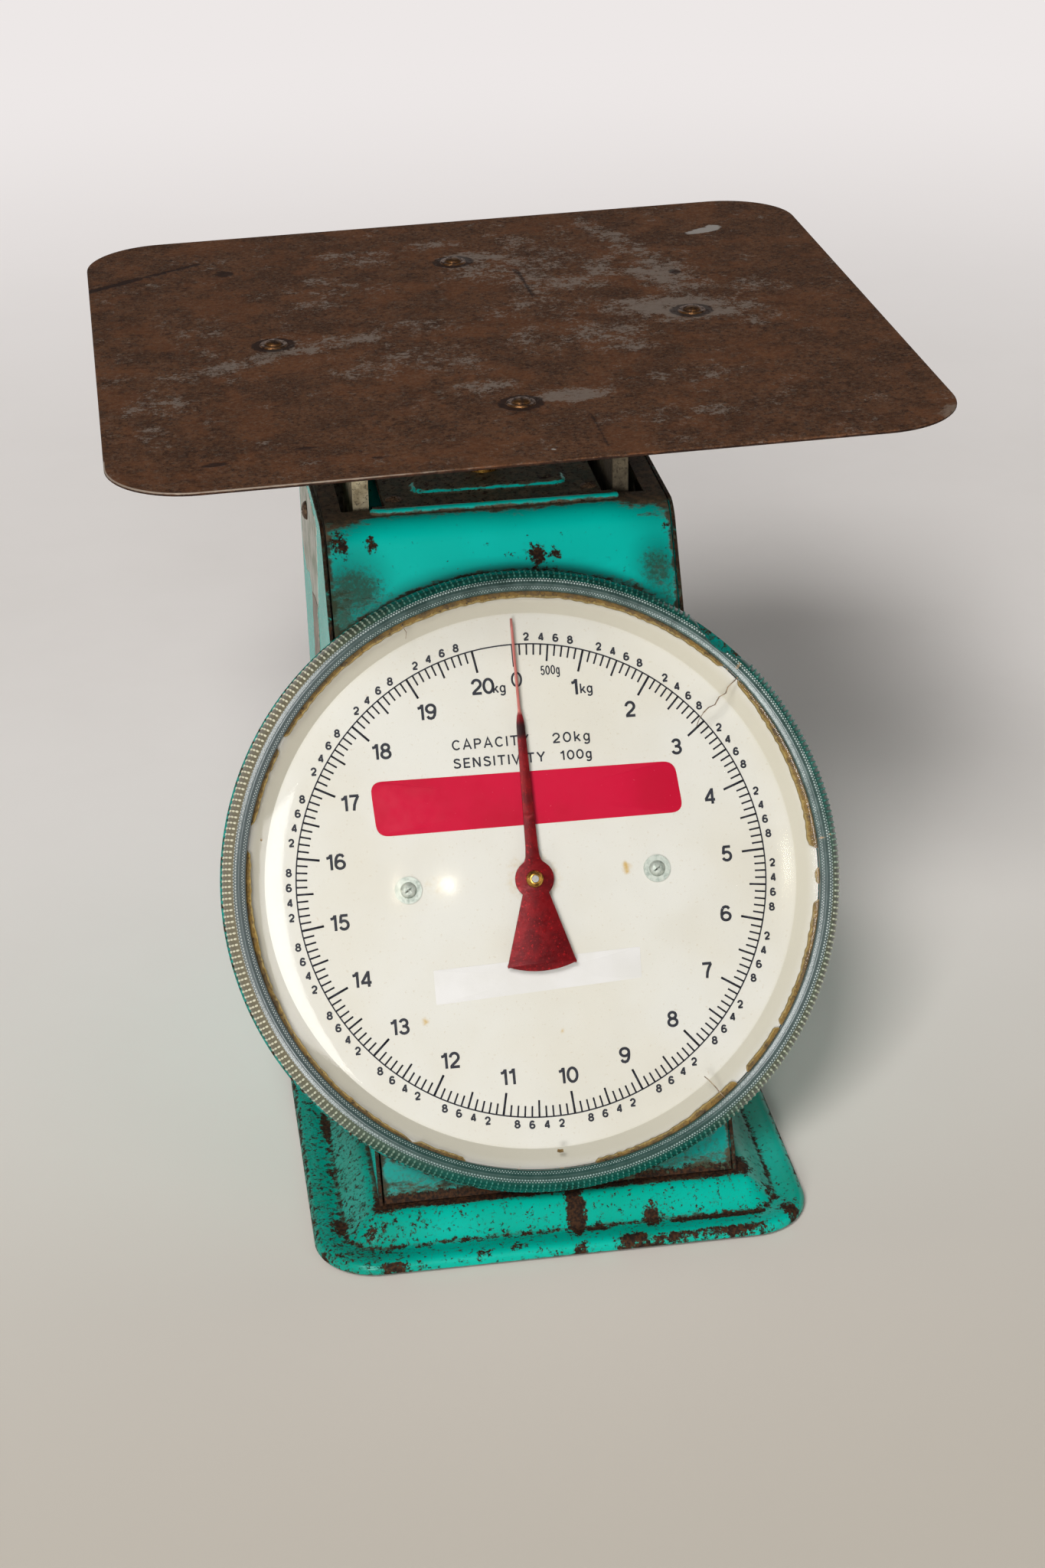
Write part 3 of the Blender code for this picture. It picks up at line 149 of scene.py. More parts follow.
def enamel_finish(name, fresh, faded):
    """Stove enamel over steel: soft brown grime, and rust where a mark says the enamel has gone; its
    darkening and grime marks also lay painted shade, and top dirt is painted lighter.
    """
    coat = Finish(name, Specular_IOR_Level=0.16)
    colour = coat.mixed(coat.level(coat.cloud(34, 2), 0.35, 0.68), paint(*fresh), paint(*faded))
    # A mark darkens the teal: fading in places, and painted shade below the dial, under the platform and
    # round the rim.
    colour = coat.mixed(coat.mark("aged"), colour, paint(*(0.62 * tone for tone in faded)))
    smears = coat.cloud(2.8, 7, 0.74, (2.2, 1, 1), 3.0)
    # Brown grime from a mark that is dirt in most places and painted shade round the dial and under the
    # cover's rim.
    dust_and_shade = coat.ragged(coat.mark("grime"), smears, 1.9, 0.34, 0.72)
    height = coat.add("ShaderNodeSeparateXYZ", {"Vector": coat.spot}, "Z")
    patches = coat.level(coat.cloud(3.2, 5, 0.7, (1, 1, 1), 1.0), 0.36, 0.66)
    dirt = coat.mixed(patches, paint(40, 29, 18), paint(72, 52, 32))
    # Dirt above 205 mm, on the top surfaces under the platform, is painted lighter as painted light against
    # the shade there.
    dirt = coat.mixed(
        coat.level(height, 0.205, 0.2095), dirt, coat.mixed(patches, paint(62, 45, 31), paint(98, 72, 51)),
    )
    colour = coat.mixed(coat.sums("MULTIPLY", dust_and_shade, 0.95), colour, dirt)
    scuffs = coat.ragged(coat.mark("scuff"), coat.cloud(1.3, 6, 0.8, (1, 1, 1), 9.0), 2.2, 0.3, 1.0)
    colour = coat.mixed(coat.sums("MULTIPLY", scuffs, 0.8), colour, paint(46, 62, 44))
    flakes = coat.cloud(2.6, 7, 0.74, (1, 1, 1), 6.0)
    pepper = coat.ragged(coat.mark("rust"), coat.cloud(1.7, 6, 0.74, (1, 1, 1), 4.0), 3.4, 0.5, 0.62)
    rust = coat.sums("MAXIMUM", pepper, coat.ragged(coat.mark("rust"), flakes, 2.3, 0.48, 0.56))
    halo = coat.ragged(coat.mark("rust"), flakes, 2.0, 0.33, 0.56)
    colour = coat.mixed(coat.sums("MULTIPLY", halo, 0.45), colour, paint(58, 74, 52))
    brown = coat.mixed(coat.level(coat.cloud(1.1, 4), 0.38, 0.64), paint(26, 16, 10), paint(60, 37, 20))
    colour = coat.mixed(rust, colour, brown)
    coat.lay(Base_Color=colour)
    soiled = coat.sums("MAXIMUM", rust, coat.sums("MULTIPLY", dust_and_shade, 0.8))
    coat.lay(Roughness=coat.level(soiled, 0.0, 1.0, 0.27, 0.8))
    flow = coat.sums("MULTIPLY", coat.cloud(2.6, 2), 0.12)
    grain = coat.sums("MULTIPLY", coat.cloud(0.7, 3), coat.level(soiled, 0.0, 1.0, 0.02, 0.55))
    relief = coat.sums("SUBTRACT", coat.sums("ADD", flow, grain), coat.sums("MULTIPLY", rust, 0.5))
    coat.bumps(relief, 0.22)
    return coat.material


def blot(where, x, y, reach_x, reach_y=None, turn=0.0, peak=1.0):
    """How strongly a soft-edged blot marks each (x, y) point, all in millimetres."""
    dx, dy = where[:, 0] - x, where[:, 1] - y
    c, s = cos(radians(turn)), sin(radians(turn))
    across = np.hypot((dx * c + dy * s) / reach_x, (dy * c - dx * s) / (reach_y or reach_x))
    return peak * np.clip(1.5 - across, 0.0, 1.0)


def streak(where, start, end, reach, peak=1.0):
    """How strongly a line from start to end marks each (x, y) point."""
    a, b = np.array(start, float), np.array(end, float)
    along = np.clip(((where - a) @ (b - a)) / ((b - a) @ (b - a)), 0.0, 1.0)
    gap = np.hypot(*(where - a - along[:, None] * (b - a)).T)
    return peak * np.clip(1.5 - gap / reach, 0.0, 1.0)


def blots(where, *rows):
    """Several blots on the same points, each from a row of its place, reach, turn and peak."""
    return [blot(where, *row) for row in rows]


def streaks(where, *rows):
    """Several streaks on the same points, each from a row of its ends, reach and peak."""
    return [streak(where, *row) for row in rows]


def strongest(*marks):
    """The strongest of several marks at each point."""
    return np.max(np.stack(np.broadcast_arrays(*marks)), axis=0)


def shape(name, points, faces, material, **marks):
    """An object from points in millimetres, with its wear marks kept as point attributes."""
    mesh = bpy.data.meshes.new(name)
    mesh.from_pydata((np.asarray(points, float) / 1000).tolist(), [], [tuple(face) for face in faces])
    for mark, values in marks.items():
        kept = mesh.attributes.new(mark, "FLOAT", "POINT")
        kept.data.foreach_set("value", np.asarray(values, np.float32))
    mesh.materials.append(material)
    made = bpy.data.objects.new(name, mesh)
    bpy.context.collection.objects.link(made)
    return made


def crease(made):
    """Keep a piece's real edges sharp."""
    made.data.set_sharp_from_angle(angle=radians(38))
    return made


def fasten(made, body, slot, *nodes):
    """Let a piece ride on its body in place of its CAD nodes; its slot is not used."""
    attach(made, body)
    if nodes:
        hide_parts(*nodes)
    return made


def settle(made, body, slot, *nodes):
    """Fix a piece's mesh, face it outwards, smooth it between its edges and fasten it."""
    if made.modifiers:
        graph = bpy.context.evaluated_depsgraph_get()
        fixed = bpy.data.meshes.new_from_object(
            made.evaluated_get(graph), preserve_all_data_layers=True, depsgraph=graph,
        )
        made.modifiers.clear()
        made.data = fixed
    solid = bmesh.new()
    solid.from_mesh(made.data)
    bmesh.ops.recalc_face_normals(solid, faces=solid.faces)
    solid.to_mesh(made.data)
    solid.free()
    made.data.shade_smooth()
    return fasten(crease(made), body, slot, *nodes)


def net(rows, columns, closed=False):
    """Quads between rows of points, row by row; a closed net joins its last column to its first."""
    quads = []
    for r in range(rows - 1):
        for c in range(columns if closed else columns - 1):
            d = (c + 1) % columns
            quads.append((r * columns + c, r * columns + d, (r + 1) * columns + d, (r + 1) * columns + c))
    return quads


def round_cornered(half_x, half_y, corner, inset, middle, steps):
    """A rectangle with round corners, inset from its outline; the count of points stays the same."""
    corner_steps = 16
    radius = max(corner - inset, 0.6)
    ring = []
    for quarter, (sx, sy) in enumerate(((1, 1), (-1, 1), (-1, -1), (1, -1))):
        cx, cy = sx * (half_x - inset - radius), sy * (half_y - inset - radius)
        for i in range(corner_steps + 1):
            a = (quarter + i / corner_steps) * pi / 2
            ring.append((cx + radius * cos(a), cy + radius * sin(a)))
        side = (-sx if quarter % 2 == 0 else sx, sy if quarter % 2 == 0 else -sy)
        nx, ny = side[0] * (half_x - inset - radius), side[1] * (half_y - inset - radius)
        a = (quarter + 1) * pi / 2
        begin, finish = ring[-1], (nx + radius * cos(a), ny + radius * sin(a))
        for i in range(1, steps):
            ring.append(tuple(p + (q - p) * i / steps for p, q in zip(begin, finish)))
    return [(x + middle[0], y + middle[1]) for x, y in ring]


pan_low, pan_high = (1000 * np.array(corner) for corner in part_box("base_pan"))
pan_half = (pan_high - pan_low) / 2
pan_mid = (pan_high + pan_low) / 2
pan_corner, plinth_top = 21.0, pan_high[2]
pan_section = [
    (0.0, 1.5), (0.0, 2.3), (0.08, 3.05), (0.35, 3.8), (0.95, 4.5), (1.9, 4.95), (3.2, 5.12), (5.0, 5.05),
    (7.0, 4.75), (8.6, 4.45), (9.8, 4.36), (10.6, 4.5), (11.4, 5.0), (12.6, 6.0), (14.0, 7.3),
    (15.5, 8.65), (17.0, 9.9), (18.4, 10.85), (19.6, 11.45), (20.6, 11.72), (21.6, plinth_top),
    (23.5, plinth_top), (26.0, plinth_top),
]
pan_under = [
    (1.2, 1.5), (1.2, 3.3), (2.2, 3.8), (6.0, 3.7), (10.8, 3.2), (15.0, 6.9), (19.4, 10.2), (22.0, 10.6),
]
pan_profile = pan_under[::-1] + pan_section
pan_rings = [round_cornered(*pan_half[:2], pan_corner, inset, pan_mid[:2], 62) for inset, _ in pan_profile]
around = len(pan_rings[0])
pan_insets = np.repeat([inset for inset, _ in pan_profile], around)
pan_points = np.array([(x, y, z) for ring, (_, z) in zip(pan_rings, pan_profile) for x, y in ring])
pan_faces = net(len(pan_rings), around, True) + [
    range(around)[::-1], range(len(pan_points) - around, len(pan_points)),
]
on_pan = pan_points[:, :2]
valley = np.clip(1.3 - np.abs(pan_insets - 10.4) / 1.3, 0, 1)
foot_line = np.clip(1.4 - np.abs(pan_insets - 23.5) / 2.6, 0, 1)
front_slope = (on_pan[:, 1] < -125).astype(float)
left_side = np.clip((-on_pan[:, 0] - 40) / 25, 0, 1)
pan_rust = strongest(
    0.17 + 0.13 * left_side + 0.05 * front_slope,
    0.36 * valley + 0.1,
    0.42 * foot_line * front_slope + 0.30 * foot_line,
    *blots(
        on_pan, (3.9, -140.5, 3.1, 9.5, 0, 0.95), (4.4, -133, 3.6, 3.0, 0, 0.8),
        (11.5, -146.5, 4.2, 1.9, 6, 0.72), (29.6, -144.5, 2.9, 4.2, 0, 0.8), (57, -146.8, 6.5, 1.4, 0, 0.8),
        (-38, -131.0, 13, 3.4, 0, 0.95), (63, -128, 3.4, 6, 0, 0.75), (-74.5, -131.0, 2.8, 5.0, 0, 0.8),
        (-74, -70, 1.8, 12, 0, 0.72), (-75, -96, 1.4, 5, 0, 0.6), (-65, -141, 3.2, 2.4, 30, 0.55),
        (-60, -134, 4.5, 2.2, 0, 0.62), (21, -154, 5.6, 2.0, 2, 0.86), (56, -154.5, 8, 1.4, 0, 0.72),
        (3, -155, 2.4, 1.5, 0, 0.6), (-29, -153.5, 2.4, 1.6, 0, 0.62), (-17, -152, 3.6, 2.0, 0, 0.55),
        (-59, -155, 5.5, 1.3, 0, 0.66), (76, -147, 3.4, 4.4, 30, 0.7), (72, -137, 3.0, 5.0, 0, 0.5),
        (-81, -146, 1.6, 4, 0, 0.5), (40, 88, 14, 3, 0, 0.5), (-45, 84, 9, 3, 0, 0.55),
        (75, 20, 3, 14, 0, 0.55),
    ),
    *streaks(
        on_pan, ((36, -146.5), (67, -146.2), 1.3, 0.74), ((-60, -130.6), (-19, -131.2), 2.6, 0.95),
        ((26, -130.8), (64, -130.0), 2.0, 0.9), ((16, -155), (66, -154), 1.5, 0.55),
        ((-83.2, -140), (-83.2, 60), 0.9, 0.45), ((83.4, -130), (83.4, 60), 0.9, 0.5),
    ),
)
pan_grime = strongest(
    0.55 * valley, 0.9 * foot_line, 0.25 * left_side, 0.12, 0.5 * (pan_points[:, 2] < 2.0),
)
base_enamel = enamel_finish("base_enamel", (0, 162, 143), (2, 150, 128))
# Darker on the left side, and along the body's foot as painted shade in the crease there.
pan_age_and_shade = strongest(0.35 * left_side, 0.4 * foot_line)
pan = shape(
    "base_pan_pressing", pan_points, pan_faces, base_enamel, rust=pan_rust, grime=pan_grime,
    scuff=0.2 * left_side, aged=pan_age_and_shade,
)
settle(pan, "housing", "teal_enamel", "base_pan")


# Feet
# Four moulded rubber buffers stuck up inside the pan's corners, standing a little below its rim.
# They keep their CAD shape and get a dull black rubber that has gone grey with floor dust.
rubber = Finish("foot_rubber", Specular_IOR_Level=0.3)
bloom = rubber.level(rubber.cloud(2.2, 4), 0.4, 0.7)
rubber.lay(Base_Color=rubber.mixed(bloom, paint(30, 29, 28), paint(68, 65, 60)))
rubber.lay(Roughness=rubber.level(bloom, 0, 1, 0.72, 0.92))
rubber.bumps(rubber.cloud(0.8, 3), 0.15)


def dress(material, *nodes):
    """Give CAD pieces whose shape is right their finished surface."""
    for node in nodes:
        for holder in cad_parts[node].material_slots:
            holder.material = material


dress(rubber.material, "foot_front_left", "foot_front_right", "foot_back_left", "foot_back_right")


# Chassis, arms and gearing
# The works inside the housing: zinc-plated cheeks, arms, yoke and brackets, drawn-steel rods, rack
# and shaft, brass bushes and pinion. They keep their CAD shapes and get plated or drawn surfaces.
zinc = Finish("zinc_plate", Metallic=0.85)
spangle = zinc.add("ShaderNodeSeparateColor", {"Color": zinc.cells(2.4)})
tarnish = zinc.level(zinc.cloud(5.0, 4, 0.6), 0.42, 0.7)
zinc_tone = zinc.mixed(spangle, paint(150, 143, 126), paint(186, 180, 164))
pits = zinc.level(zinc.cloud(0.75, 3, 0.6, (1, 1, 1), 4.0), 0.6, 0.66)
zinc_tone = zinc.mixed(zinc.sums("MULTIPLY", tarnish, 0.5), zinc_tone, paint(104, 88, 66))
zinc_tone = zinc.mixed(zinc.sums("MULTIPLY", pits, 0.8), zinc_tone, paint(48, 40, 32))
zinc.lay(Base_Color=zinc_tone, Roughness=zinc.level(spangle, 0, 1, 0.36, 0.56))
zinc.bumps(pits, 0.05, 0.6)

steel = Finish("drawn_steel", Metallic=1.0)
drawn = steel.cloud(0.5, 3, 0.6, (1, 1, 14))
spots = steel.level(steel.cloud(3.0, 5, 0.65), 0.56, 0.68)
steel.lay(
    Base_Color=steel.mixed(
        spots, steel.mixed(drawn, paint(128, 126, 122), paint(172, 170, 166)), paint(92, 66, 46),
    )
)
steel.lay(Roughness=steel.level(spots, 0, 1, 0.34, 0.7))
steel.bumps(drawn, 0.02)

brass = Finish("turned_brass", Metallic=1.0)
turned = brass.cloud(0.6, 3, 0.6, (8, 8, 1))
dull = brass.level(brass.cloud(2.0, 5, 0.65), 0.44, 0.66)
brass.lay(
    Base_Color=brass.mixed(
        dull, brass.mixed(turned, paint(196, 146, 62), paint(222, 176, 92)), paint(104, 70, 30),
    )
)
brass.lay(Roughness=brass.level(dull, 0, 1, 0.26, 0.58))
brass.bumps(turned, 0.015)

dress(
    zinc.material, "left_cheek", "right_cheek", "upper_arm", "lower_arm", "carriage_yoke", "rack_bracket",
    "shaft_bracket", "spring_hanger",
)
dress(
    steel.material, "upper_pivot_rod", "lower_pivot_rod", "upper_carriage_rod", "lower_carriage_rod",
    "rack", "pointer_shaft", "zero_screw", "post_screw_left", "post_screw_right", "yoke_screw_left",
    "yoke_screw_right",
)
dress(brass.material, "front_bush", "rear_bush", "pinion")


# Main springs
# Two close-wound springs of drawn steel wire, hung from the hanger and hooked on the yoke. Their
# top ends stay just clear of the hanger as it is set.
class Recipe:
    """A Geometry Nodes tree with named inputs, built node by node and worked in millimetres."""

    def __init__(self, name, **inputs):
        self.tree = bpy.data.node_groups.new(name, "GeometryNodeTree")
        self.given = self.tree.nodes.new("NodeGroupInput")
        self.keys = {}
        for label, kind in {"Geometry": "Geometry", **inputs, "Material": "Material"}.items():
            socket = self.tree.interface.new_socket(
                label.replace("_", " "), in_out="INPUT", socket_type="NodeSocket" + kind,
            )
            self.keys[label] = socket.identifier
        self.tree.interface.new_socket("Geometry", in_out="OUTPUT", socket_type="NodeSocketGeometry")

    def __getitem__(self, label):
        """The socket of a named input."""
        return self.given.outputs[label.replace("_", " ")]

    def add(self, kind, inputs, output=0, **settings):
        """A node in this tree."""
        return add_node(self.tree, kind, inputs, output, **settings)

    def sums(self, operation, a, b):
        """One step of arithmetic."""
        return self.add("ShaderNodeMath", {0: a, 1: b}, operation=operation)

    def vector(self, x, y, z):
        """Three values as one vector."""
        return self.add("ShaderNodeCombineXYZ", {"X": x, "Y": y, "Z": z})

    def close(self, geometry):
        """End the tree: real meshes, smooth faces and the piece's material."""
        real = self.add("GeometryNodeRealizeInstances", {"Geometry": geometry})
        smooth = self.add("GeometryNodeSetShadeSmooth", {"Geometry": real})
        finished = self.add("GeometryNodeSetMaterial", {"Geometry": smooth, "Material": self["Material"]})
        out = self.tree.nodes.new("NodeGroupOutput")
        self.tree.links.new(finished, out.inputs["Geometry"])

    def grow(self, name, material, place=Matrix(), points=((0, 0, 0),), facing=None, **sizes):
        """Run the tree with its sizes and keep the result as one plain mesh object in its place."""
        seed_mesh = bpy.data.meshes.new(name + "_points")
        seed_mesh.from_pydata([tuple(p) for p in points], [], [])
        if facing is not None:
            turned = seed_mesh.attributes.new("facing", "FLOAT_VECTOR", "POINT")
            turned.data.foreach_set("vector", np.ravel(facing))
        seed = bpy.data.objects.new(name + "_points", seed_mesh)
        bpy.context.collection.objects.link(seed)
        modifier = seed.modifiers.new(name, "NODES")
        modifier.node_group = self.tree
        for label, value in {**sizes, "Material": material}.items():
            modifier[self.keys[label]] = value
        graph = bpy.context.evaluated_depsgraph_get()
        mesh = bpy.data.meshes.new_from_object(seed.evaluated_get(graph), depsgraph=graph)
        bpy.data.objects.remove(seed, do_unlink=True)
        mesh.transform(Matrix.Scale(0.001, 4) @ place)
        made = bpy.data.objects.new(name, mesh)
        bpy.context.collection.objects.link(made)
        return made


coil = Recipe("Hooked spring", Length="Float", Turns="Float", Pitch="Float", Radius="Float", Wire="Float")
wound = coil.sums("MULTIPLY", coil["Turns"], coil["Pitch"])
stub = coil.sums("MULTIPLY", coil.sums("SUBTRACT", coil["Length"], wound), 0.5)
spiral = coil.add(
    "GeometryNodeCurveSpiral",
    {
        "Resolution": 20, "Rotations": coil["Turns"], "Start Radius": coil["Radius"],
        "End Radius": coil["Radius"], "Height": wound,
    },
)
spiral = coil.add("GeometryNodeTransform", {"Geometry": spiral, "Translation": coil.vector(0.0, 0.0, stub)})
hooks = [spiral]
for end, inner in ((0.0, stub), (coil["Length"], coil.sums("SUBTRACT", coil["Length"], stub))):
    hook = coil.add(
        "GeometryNodeCurvePrimitiveBezierSegment",
        {
            "Start": coil.vector(0.0, 0.0, end),
            "Start Handle": coil.vector(0.0, 0.0, inner),
            "End Handle": coil.vector(0.0, 0.0, inner),
            "End": coil.vector(coil["Radius"], 0.0, inner),
        },
    )
    hooks.append(hook)
wire = coil.add(
    "GeometryNodeCurvePrimitiveCircle",
    {"Resolution": 10, "Radius": coil.sums("MULTIPLY", coil["Wire"], 0.5)},
)
lines = coil.add("GeometryNodeJoinGeometry", {"Geometry": hooks})
coil.close(coil.add("GeometryNodeCurveToMesh", {"Curve": lines, "Profile Curve": wire, "Fill Caps": True}))
hanger_travel, spring_grip = 1.05, 34
for side in ("left", "right"):
    low, high = (1000 * np.array(corner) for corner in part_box(f"{side}_spring"))
    middle = (low + high) / 2
    spring = coil.grow(
        f"{side}_coil", steel.material, Matrix.Translation((middle[0], middle[1], low[2])),
        Length=float(high[2] - low[2]) - hanger_travel, Turns=16.0, Pitch=3.7, Radius=8.0, Wire=2.4,
    )
    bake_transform(spring)
    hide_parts(f"{side}_spring")


# Front cover
# One sheet bent over a round shoulder: the sloping front that carries the dial and the flat top with
# the two post slots. Grime has settled on the top, and cleaning has left it streaked; painted shade
# darkens it below the dial, along its top edge under the platform and in a ring round the dial.
cover_x, cover_sheet, slope_tilt = 59.3, 1.0, radians(30)
slot_x, slot_y = (38.1, 52.9), (-5.5, 48.5)
body_foot, body_top, body_back = 12.1, 210.5, 67.62
foot_y, corner_y, shoulder = -130.93, -16.38, 10.0
dial_middle = np.array((0.0, -83.819, 104.992))
dial_up = np.array((0.0, 0.5, cos(slope_tilt)))
bend = shoulder * tan(radians(30))
bend_middle = (corner_y + bend, body_top - shoulder)
slope_end = (corner_y - bend * 0.5, body_top - bend * cos(slope_tilt))
slope_steps = np.linspace(0, 1, 112)
side_line = [
    (foot_y + (slope_end[0] - foot_y) * t, body_foot + (slope_end[1] - body_foot) * t) for t in slope_steps
]
bend_angles = [radians(a) for a in np.linspace(150, 90, 11)[1:]]
side_line += [(bend_middle[0] + shoulder * cos(a), bend_middle[1] + shoulder * sin(a)) for a in bend_angles]
top_lines = np.unique(np.round(np.r_[np.arange(-8.5, body_back, 2.2), slot_y, body_back], 3))
side_line += [(y, body_top) for y in top_lines if y > side_line[-1][0] + 0.3]
cross_lines = np.unique(
    np.round(np.r_[np.linspace(-cover_x, cover_x, 58), slot_x, [-x for x in slot_x]], 3)
)
cover_points = np.array([(x, y, z) for y, z in side_line for x in cross_lines])
columns = len(cross_lines)
cover_faces = []
for quad in net(len(side_line), columns):
    x, y, z = cover_points[list(quad)].mean(axis=0)
    if not (z > body_top - 0.01 and slot_x[0] < abs(x) < slot_x[1] and slot_y[0] < y < slot_y[1]):
        cover_faces.append(quad)
rise = (cover_points - dial_middle) @ dial_up
on_cover = np.c_[cover_points[:, 0], rise]
cover_side, from_dial = cover_points[:, 0], np.hypot(cover_points[:, 0], rise)
run = np.r_[0, np.cumsum(np.hypot(*np.diff(np.array(side_line), axis=0).T))]
below_top = (run[len(slope_steps) + len(bend_angles) - 1] - run).repeat(columns)
edge_reach = np.full(len(cover_points), 2.1)
for place, extra, spread in ((-58, 6.5, 10), (8, 1.4, 14), (58, 8.0, 12)):
    edge_reach += extra * np.exp(-(((cover_side - place) / spread) ** 2))
cover_grime_and_shade = strongest(
    1.12 * np.exp(-np.clip(below_top, 0, None) / edge_reach),
    # A dark ring round the dial, stronger above it: painted shade from the rim.
    np.where(rise > 40, 0.85, 0.5) * np.clip(1.3 - (from_dial - 105.0) / 2.0, 0, 1) * (from_dial > 90),
    0.75 * np.clip(1.3 - (cover_x - np.abs(cover_side)) / 1.1, 0, 1),
    0.7 * np.clip(1.2 - (cover_points[:, 2] - body_foot) / 9, 0, 1),
    *blots(
        on_cover, (-55, 119, 4, 4, 0, 0.5), (-55, 100, 5, 8, 0, 0.5), (-47, 98, 8, 4, 20, 0.42),
        (-57, 86, 3, 9, 0, 0.55), (54, 101, 4, 7, 0, 0.4), (42, 97.5, 9, 2.4, -25, 0.6),
    ),
)
cover_scuff = strongest(
    0.55 * np.clip(1.3 - (cover_points[:, 2] - body_foot) / 16, 0, 1),
    *blots(
        on_cover, (-51, 103, 10, 8, 0, 0.9), (-56.6, 96, 5, 12, 0, 0.9), (53, 103, 6, 7, 20, 0.85),
        (56, 94, 4, 6, 0, 0.6), (-40, 100.5, 5, 2.5, 20, 0.45),
    ),
)
foot_peak = np.where(np.abs(cover_side - 44) < 20, 0.72, 0.35)
foot_peak = np.where(np.abs(cover_side + 38) < 24, 0.95, foot_peak)
cover_rust = strongest(
    -0.15,
    foot_peak * np.clip(1.4 - (cover_points[:, 2] - body_foot) / 2.6, 0, 1),
    0.34 * np.clip((cover_points[:, 1] + 12) / 4, 0, 1) * (rise > 115),
    *blots(
        on_cover, (-55.3, 118.5, 3.4, 4.4, 0, 0.64), (-44.6, 118.0, 2.2, 3.2, 20, 0.6),
        (11.8, 110.8, 4.0, 4.2, 0, 0.62), (18.6, 110.9, 1.9, 2.8, 0, 0.6), (2.2, 111.0, 1.2, 1.6, 0, 0.6),
        (13.5, 104.9, 8, 1.1, 0, 0.5), (21.5, 118, 1.0, 0.8, 0, 0.6), (-5, 116, 0.8, 0.8, 0, 0.55),
        (-49, 92, 3, 1.2, 20, 0.5), (-30, 101, 2.2, 1.0, 20, 0.45), (57.5, 117.5, 1.2, 2.2, 0, 0.6),
        (57.8, 106, 0.9, 2.6, 0, 0.5),
    ),
)
# The body's teal is painted lighter than the base's, as painted light to offset the shade under the
# platform.
lightened_body_enamel = enamel_finish("lightened_body_enamel", (0, 206, 192), (0, 198, 183))
# Painted shade darkens the teal below the dial, along the top edge under the platform and in a halo round
# the rim; two patches at the upper sides are darker too.
cover_age_and_shade = strongest(
    np.clip((40 - rise) / 60, 0, 0.95),
    np.exp(-np.clip(below_top, 0, None) / (1.6 * edge_reach)),
    np.clip(1.25 - (from_dial - 104.5) / 5.5, 0, 1) * (from_dial > 90),
    blot(on_cover, -54, 100, 13, 17, 0, 0.9), blot(on_cover, 55, 102, 9, 14, 0, 0.8),
)
cover = shape(
    "bent_front_cover", cover_points, cover_faces, lightened_body_enamel, rust=cover_rust, grime=cover_grime_and_shade,
    scuff=cover_scuff, aged=cover_age_and_shade,
)


def thicken(made, gauge, offset):
    """Give a sheet its gauge in millimetres: all on its outer side (1) or half on each side (0)."""
    wall = made.modifiers.new("sheet", "SOLIDIFY")
    wall.thickness, wall.offset = gauge / 1000, offset


thicken(cover, cover_sheet, 1.0)
settle(cover, "housing", "teal_enamel", "front_cover")


# Side panels
# Flat sheets with the housing's outline, screwed to the chassis with their edges standing proud of
# the front cover along a dirty seam. The left one carries the remains of a torn paper label and tape.
panel_face, panel_sheet, panel_top, seam_lip = 61.1, 1.2, 211.5, 1.0
upper_screw, lower_screw = (37.5, 196.5), (21.5, 37.8)


def panel_front(z):
    """Where a panel's front edge is at a height: up the slope, then round the shoulder."""
    radius = shoulder + seam_lip
    flat = bend_middle[1] + radius * 0.5
    if z <= flat:
        return foot_y - seam_lip / cos(slope_tilt) + (z - body_foot) * tan(slope_tilt)
    return bend_middle[0] - (max(radius**2 - (z - bend_middle[1]) ** 2, 0.0)) ** 0.5


def sprung(share, z):
    """How far the left panel has sprung away, which is most at its upper back corner."""
    return 1.1 * share**1.5 * np.clip((z - 40) / 120, 0, 1)


def ease_edges(made, width, segments, angle):
    """Round a piece's edges over a width in millimetres, where its faces meet at more than an angle."""
    edge = made.modifiers.new("edge", "BEVEL")
    edge.width, edge.segments = width / 1000, segments
    edge.limit_method, edge.angle_limit = "ANGLE", radians(angle)


panel_rows = np.r_[
    np.linspace(body_foot, 200, 76), 202, 204, 206, 207.6, 208.9, 209.9, 210.7, 211.2, panel_top,
]
panel_steps = np.linspace(0, 1, 44)
for side, label in ((-1, "left"), (1, "right")):
    points = []
    for z in panel_rows:
        front = panel_front(z)
        for t in panel_steps:
            y = front + (body_back - front) * t
            spring_out = sprung(t, z) if side < 0 else 0.0
            points.append((side * (panel_face - panel_sheet / 2 + spring_out), y, z))
    points = np.array(points)
    on_panel = points[:, 1:]
    fronts = np.array([panel_front(z) for z in panel_rows]).repeat(len(panel_steps))
    from_edge = np.minimum(on_panel[:, 0] - fronts, panel_top - on_panel[:, 1])
    from_foot = on_panel[:, 1] - body_foot
    panel_grime = strongest(
        0.8 * np.clip(1.2 - from_edge / 2.2, 0, 1), 0.55 * np.clip(1.2 - from_foot / 10, 0, 1), 0.18,
    )
    panel_rust = strongest(
        0.10,
        0.55 * np.clip(1.3 - from_edge / 1.1, 0, 1),
        0.62 * np.clip(1.3 - from_foot / 4.0, 0, 1),
        *blots(
            on_panel, (*upper_screw, 5, 6, 0, 0.62), (*lower_screw, 5, 6, 0, 0.55),
            (-60, 24, 16, 5, 0, 0.4), (40, 92, 5, 9, 20, 0.42), (-20, 120, 6, 4, 60, 0.4),
        ),
    )
    panel_scuff = strongest(
        blot(on_panel, -40, 80, 26, 14, 30, 0.4), blot(on_panel, 30, 150, 18, 22, 0, 0.38),
    )
    panel = shape(
        f"{label}_panel_sheet", points, net(len(panel_rows), len(panel_steps)), lightened_body_enamel,
        rust=panel_rust, grime=panel_grime, scuff=panel_scuff,
    )
    thicken(panel, panel_sheet, 0.0)
    ease_edges(panel, 0.22, 2, 60)
    settle(panel, "housing", "teal_enamel", f"{label}_side_panel")

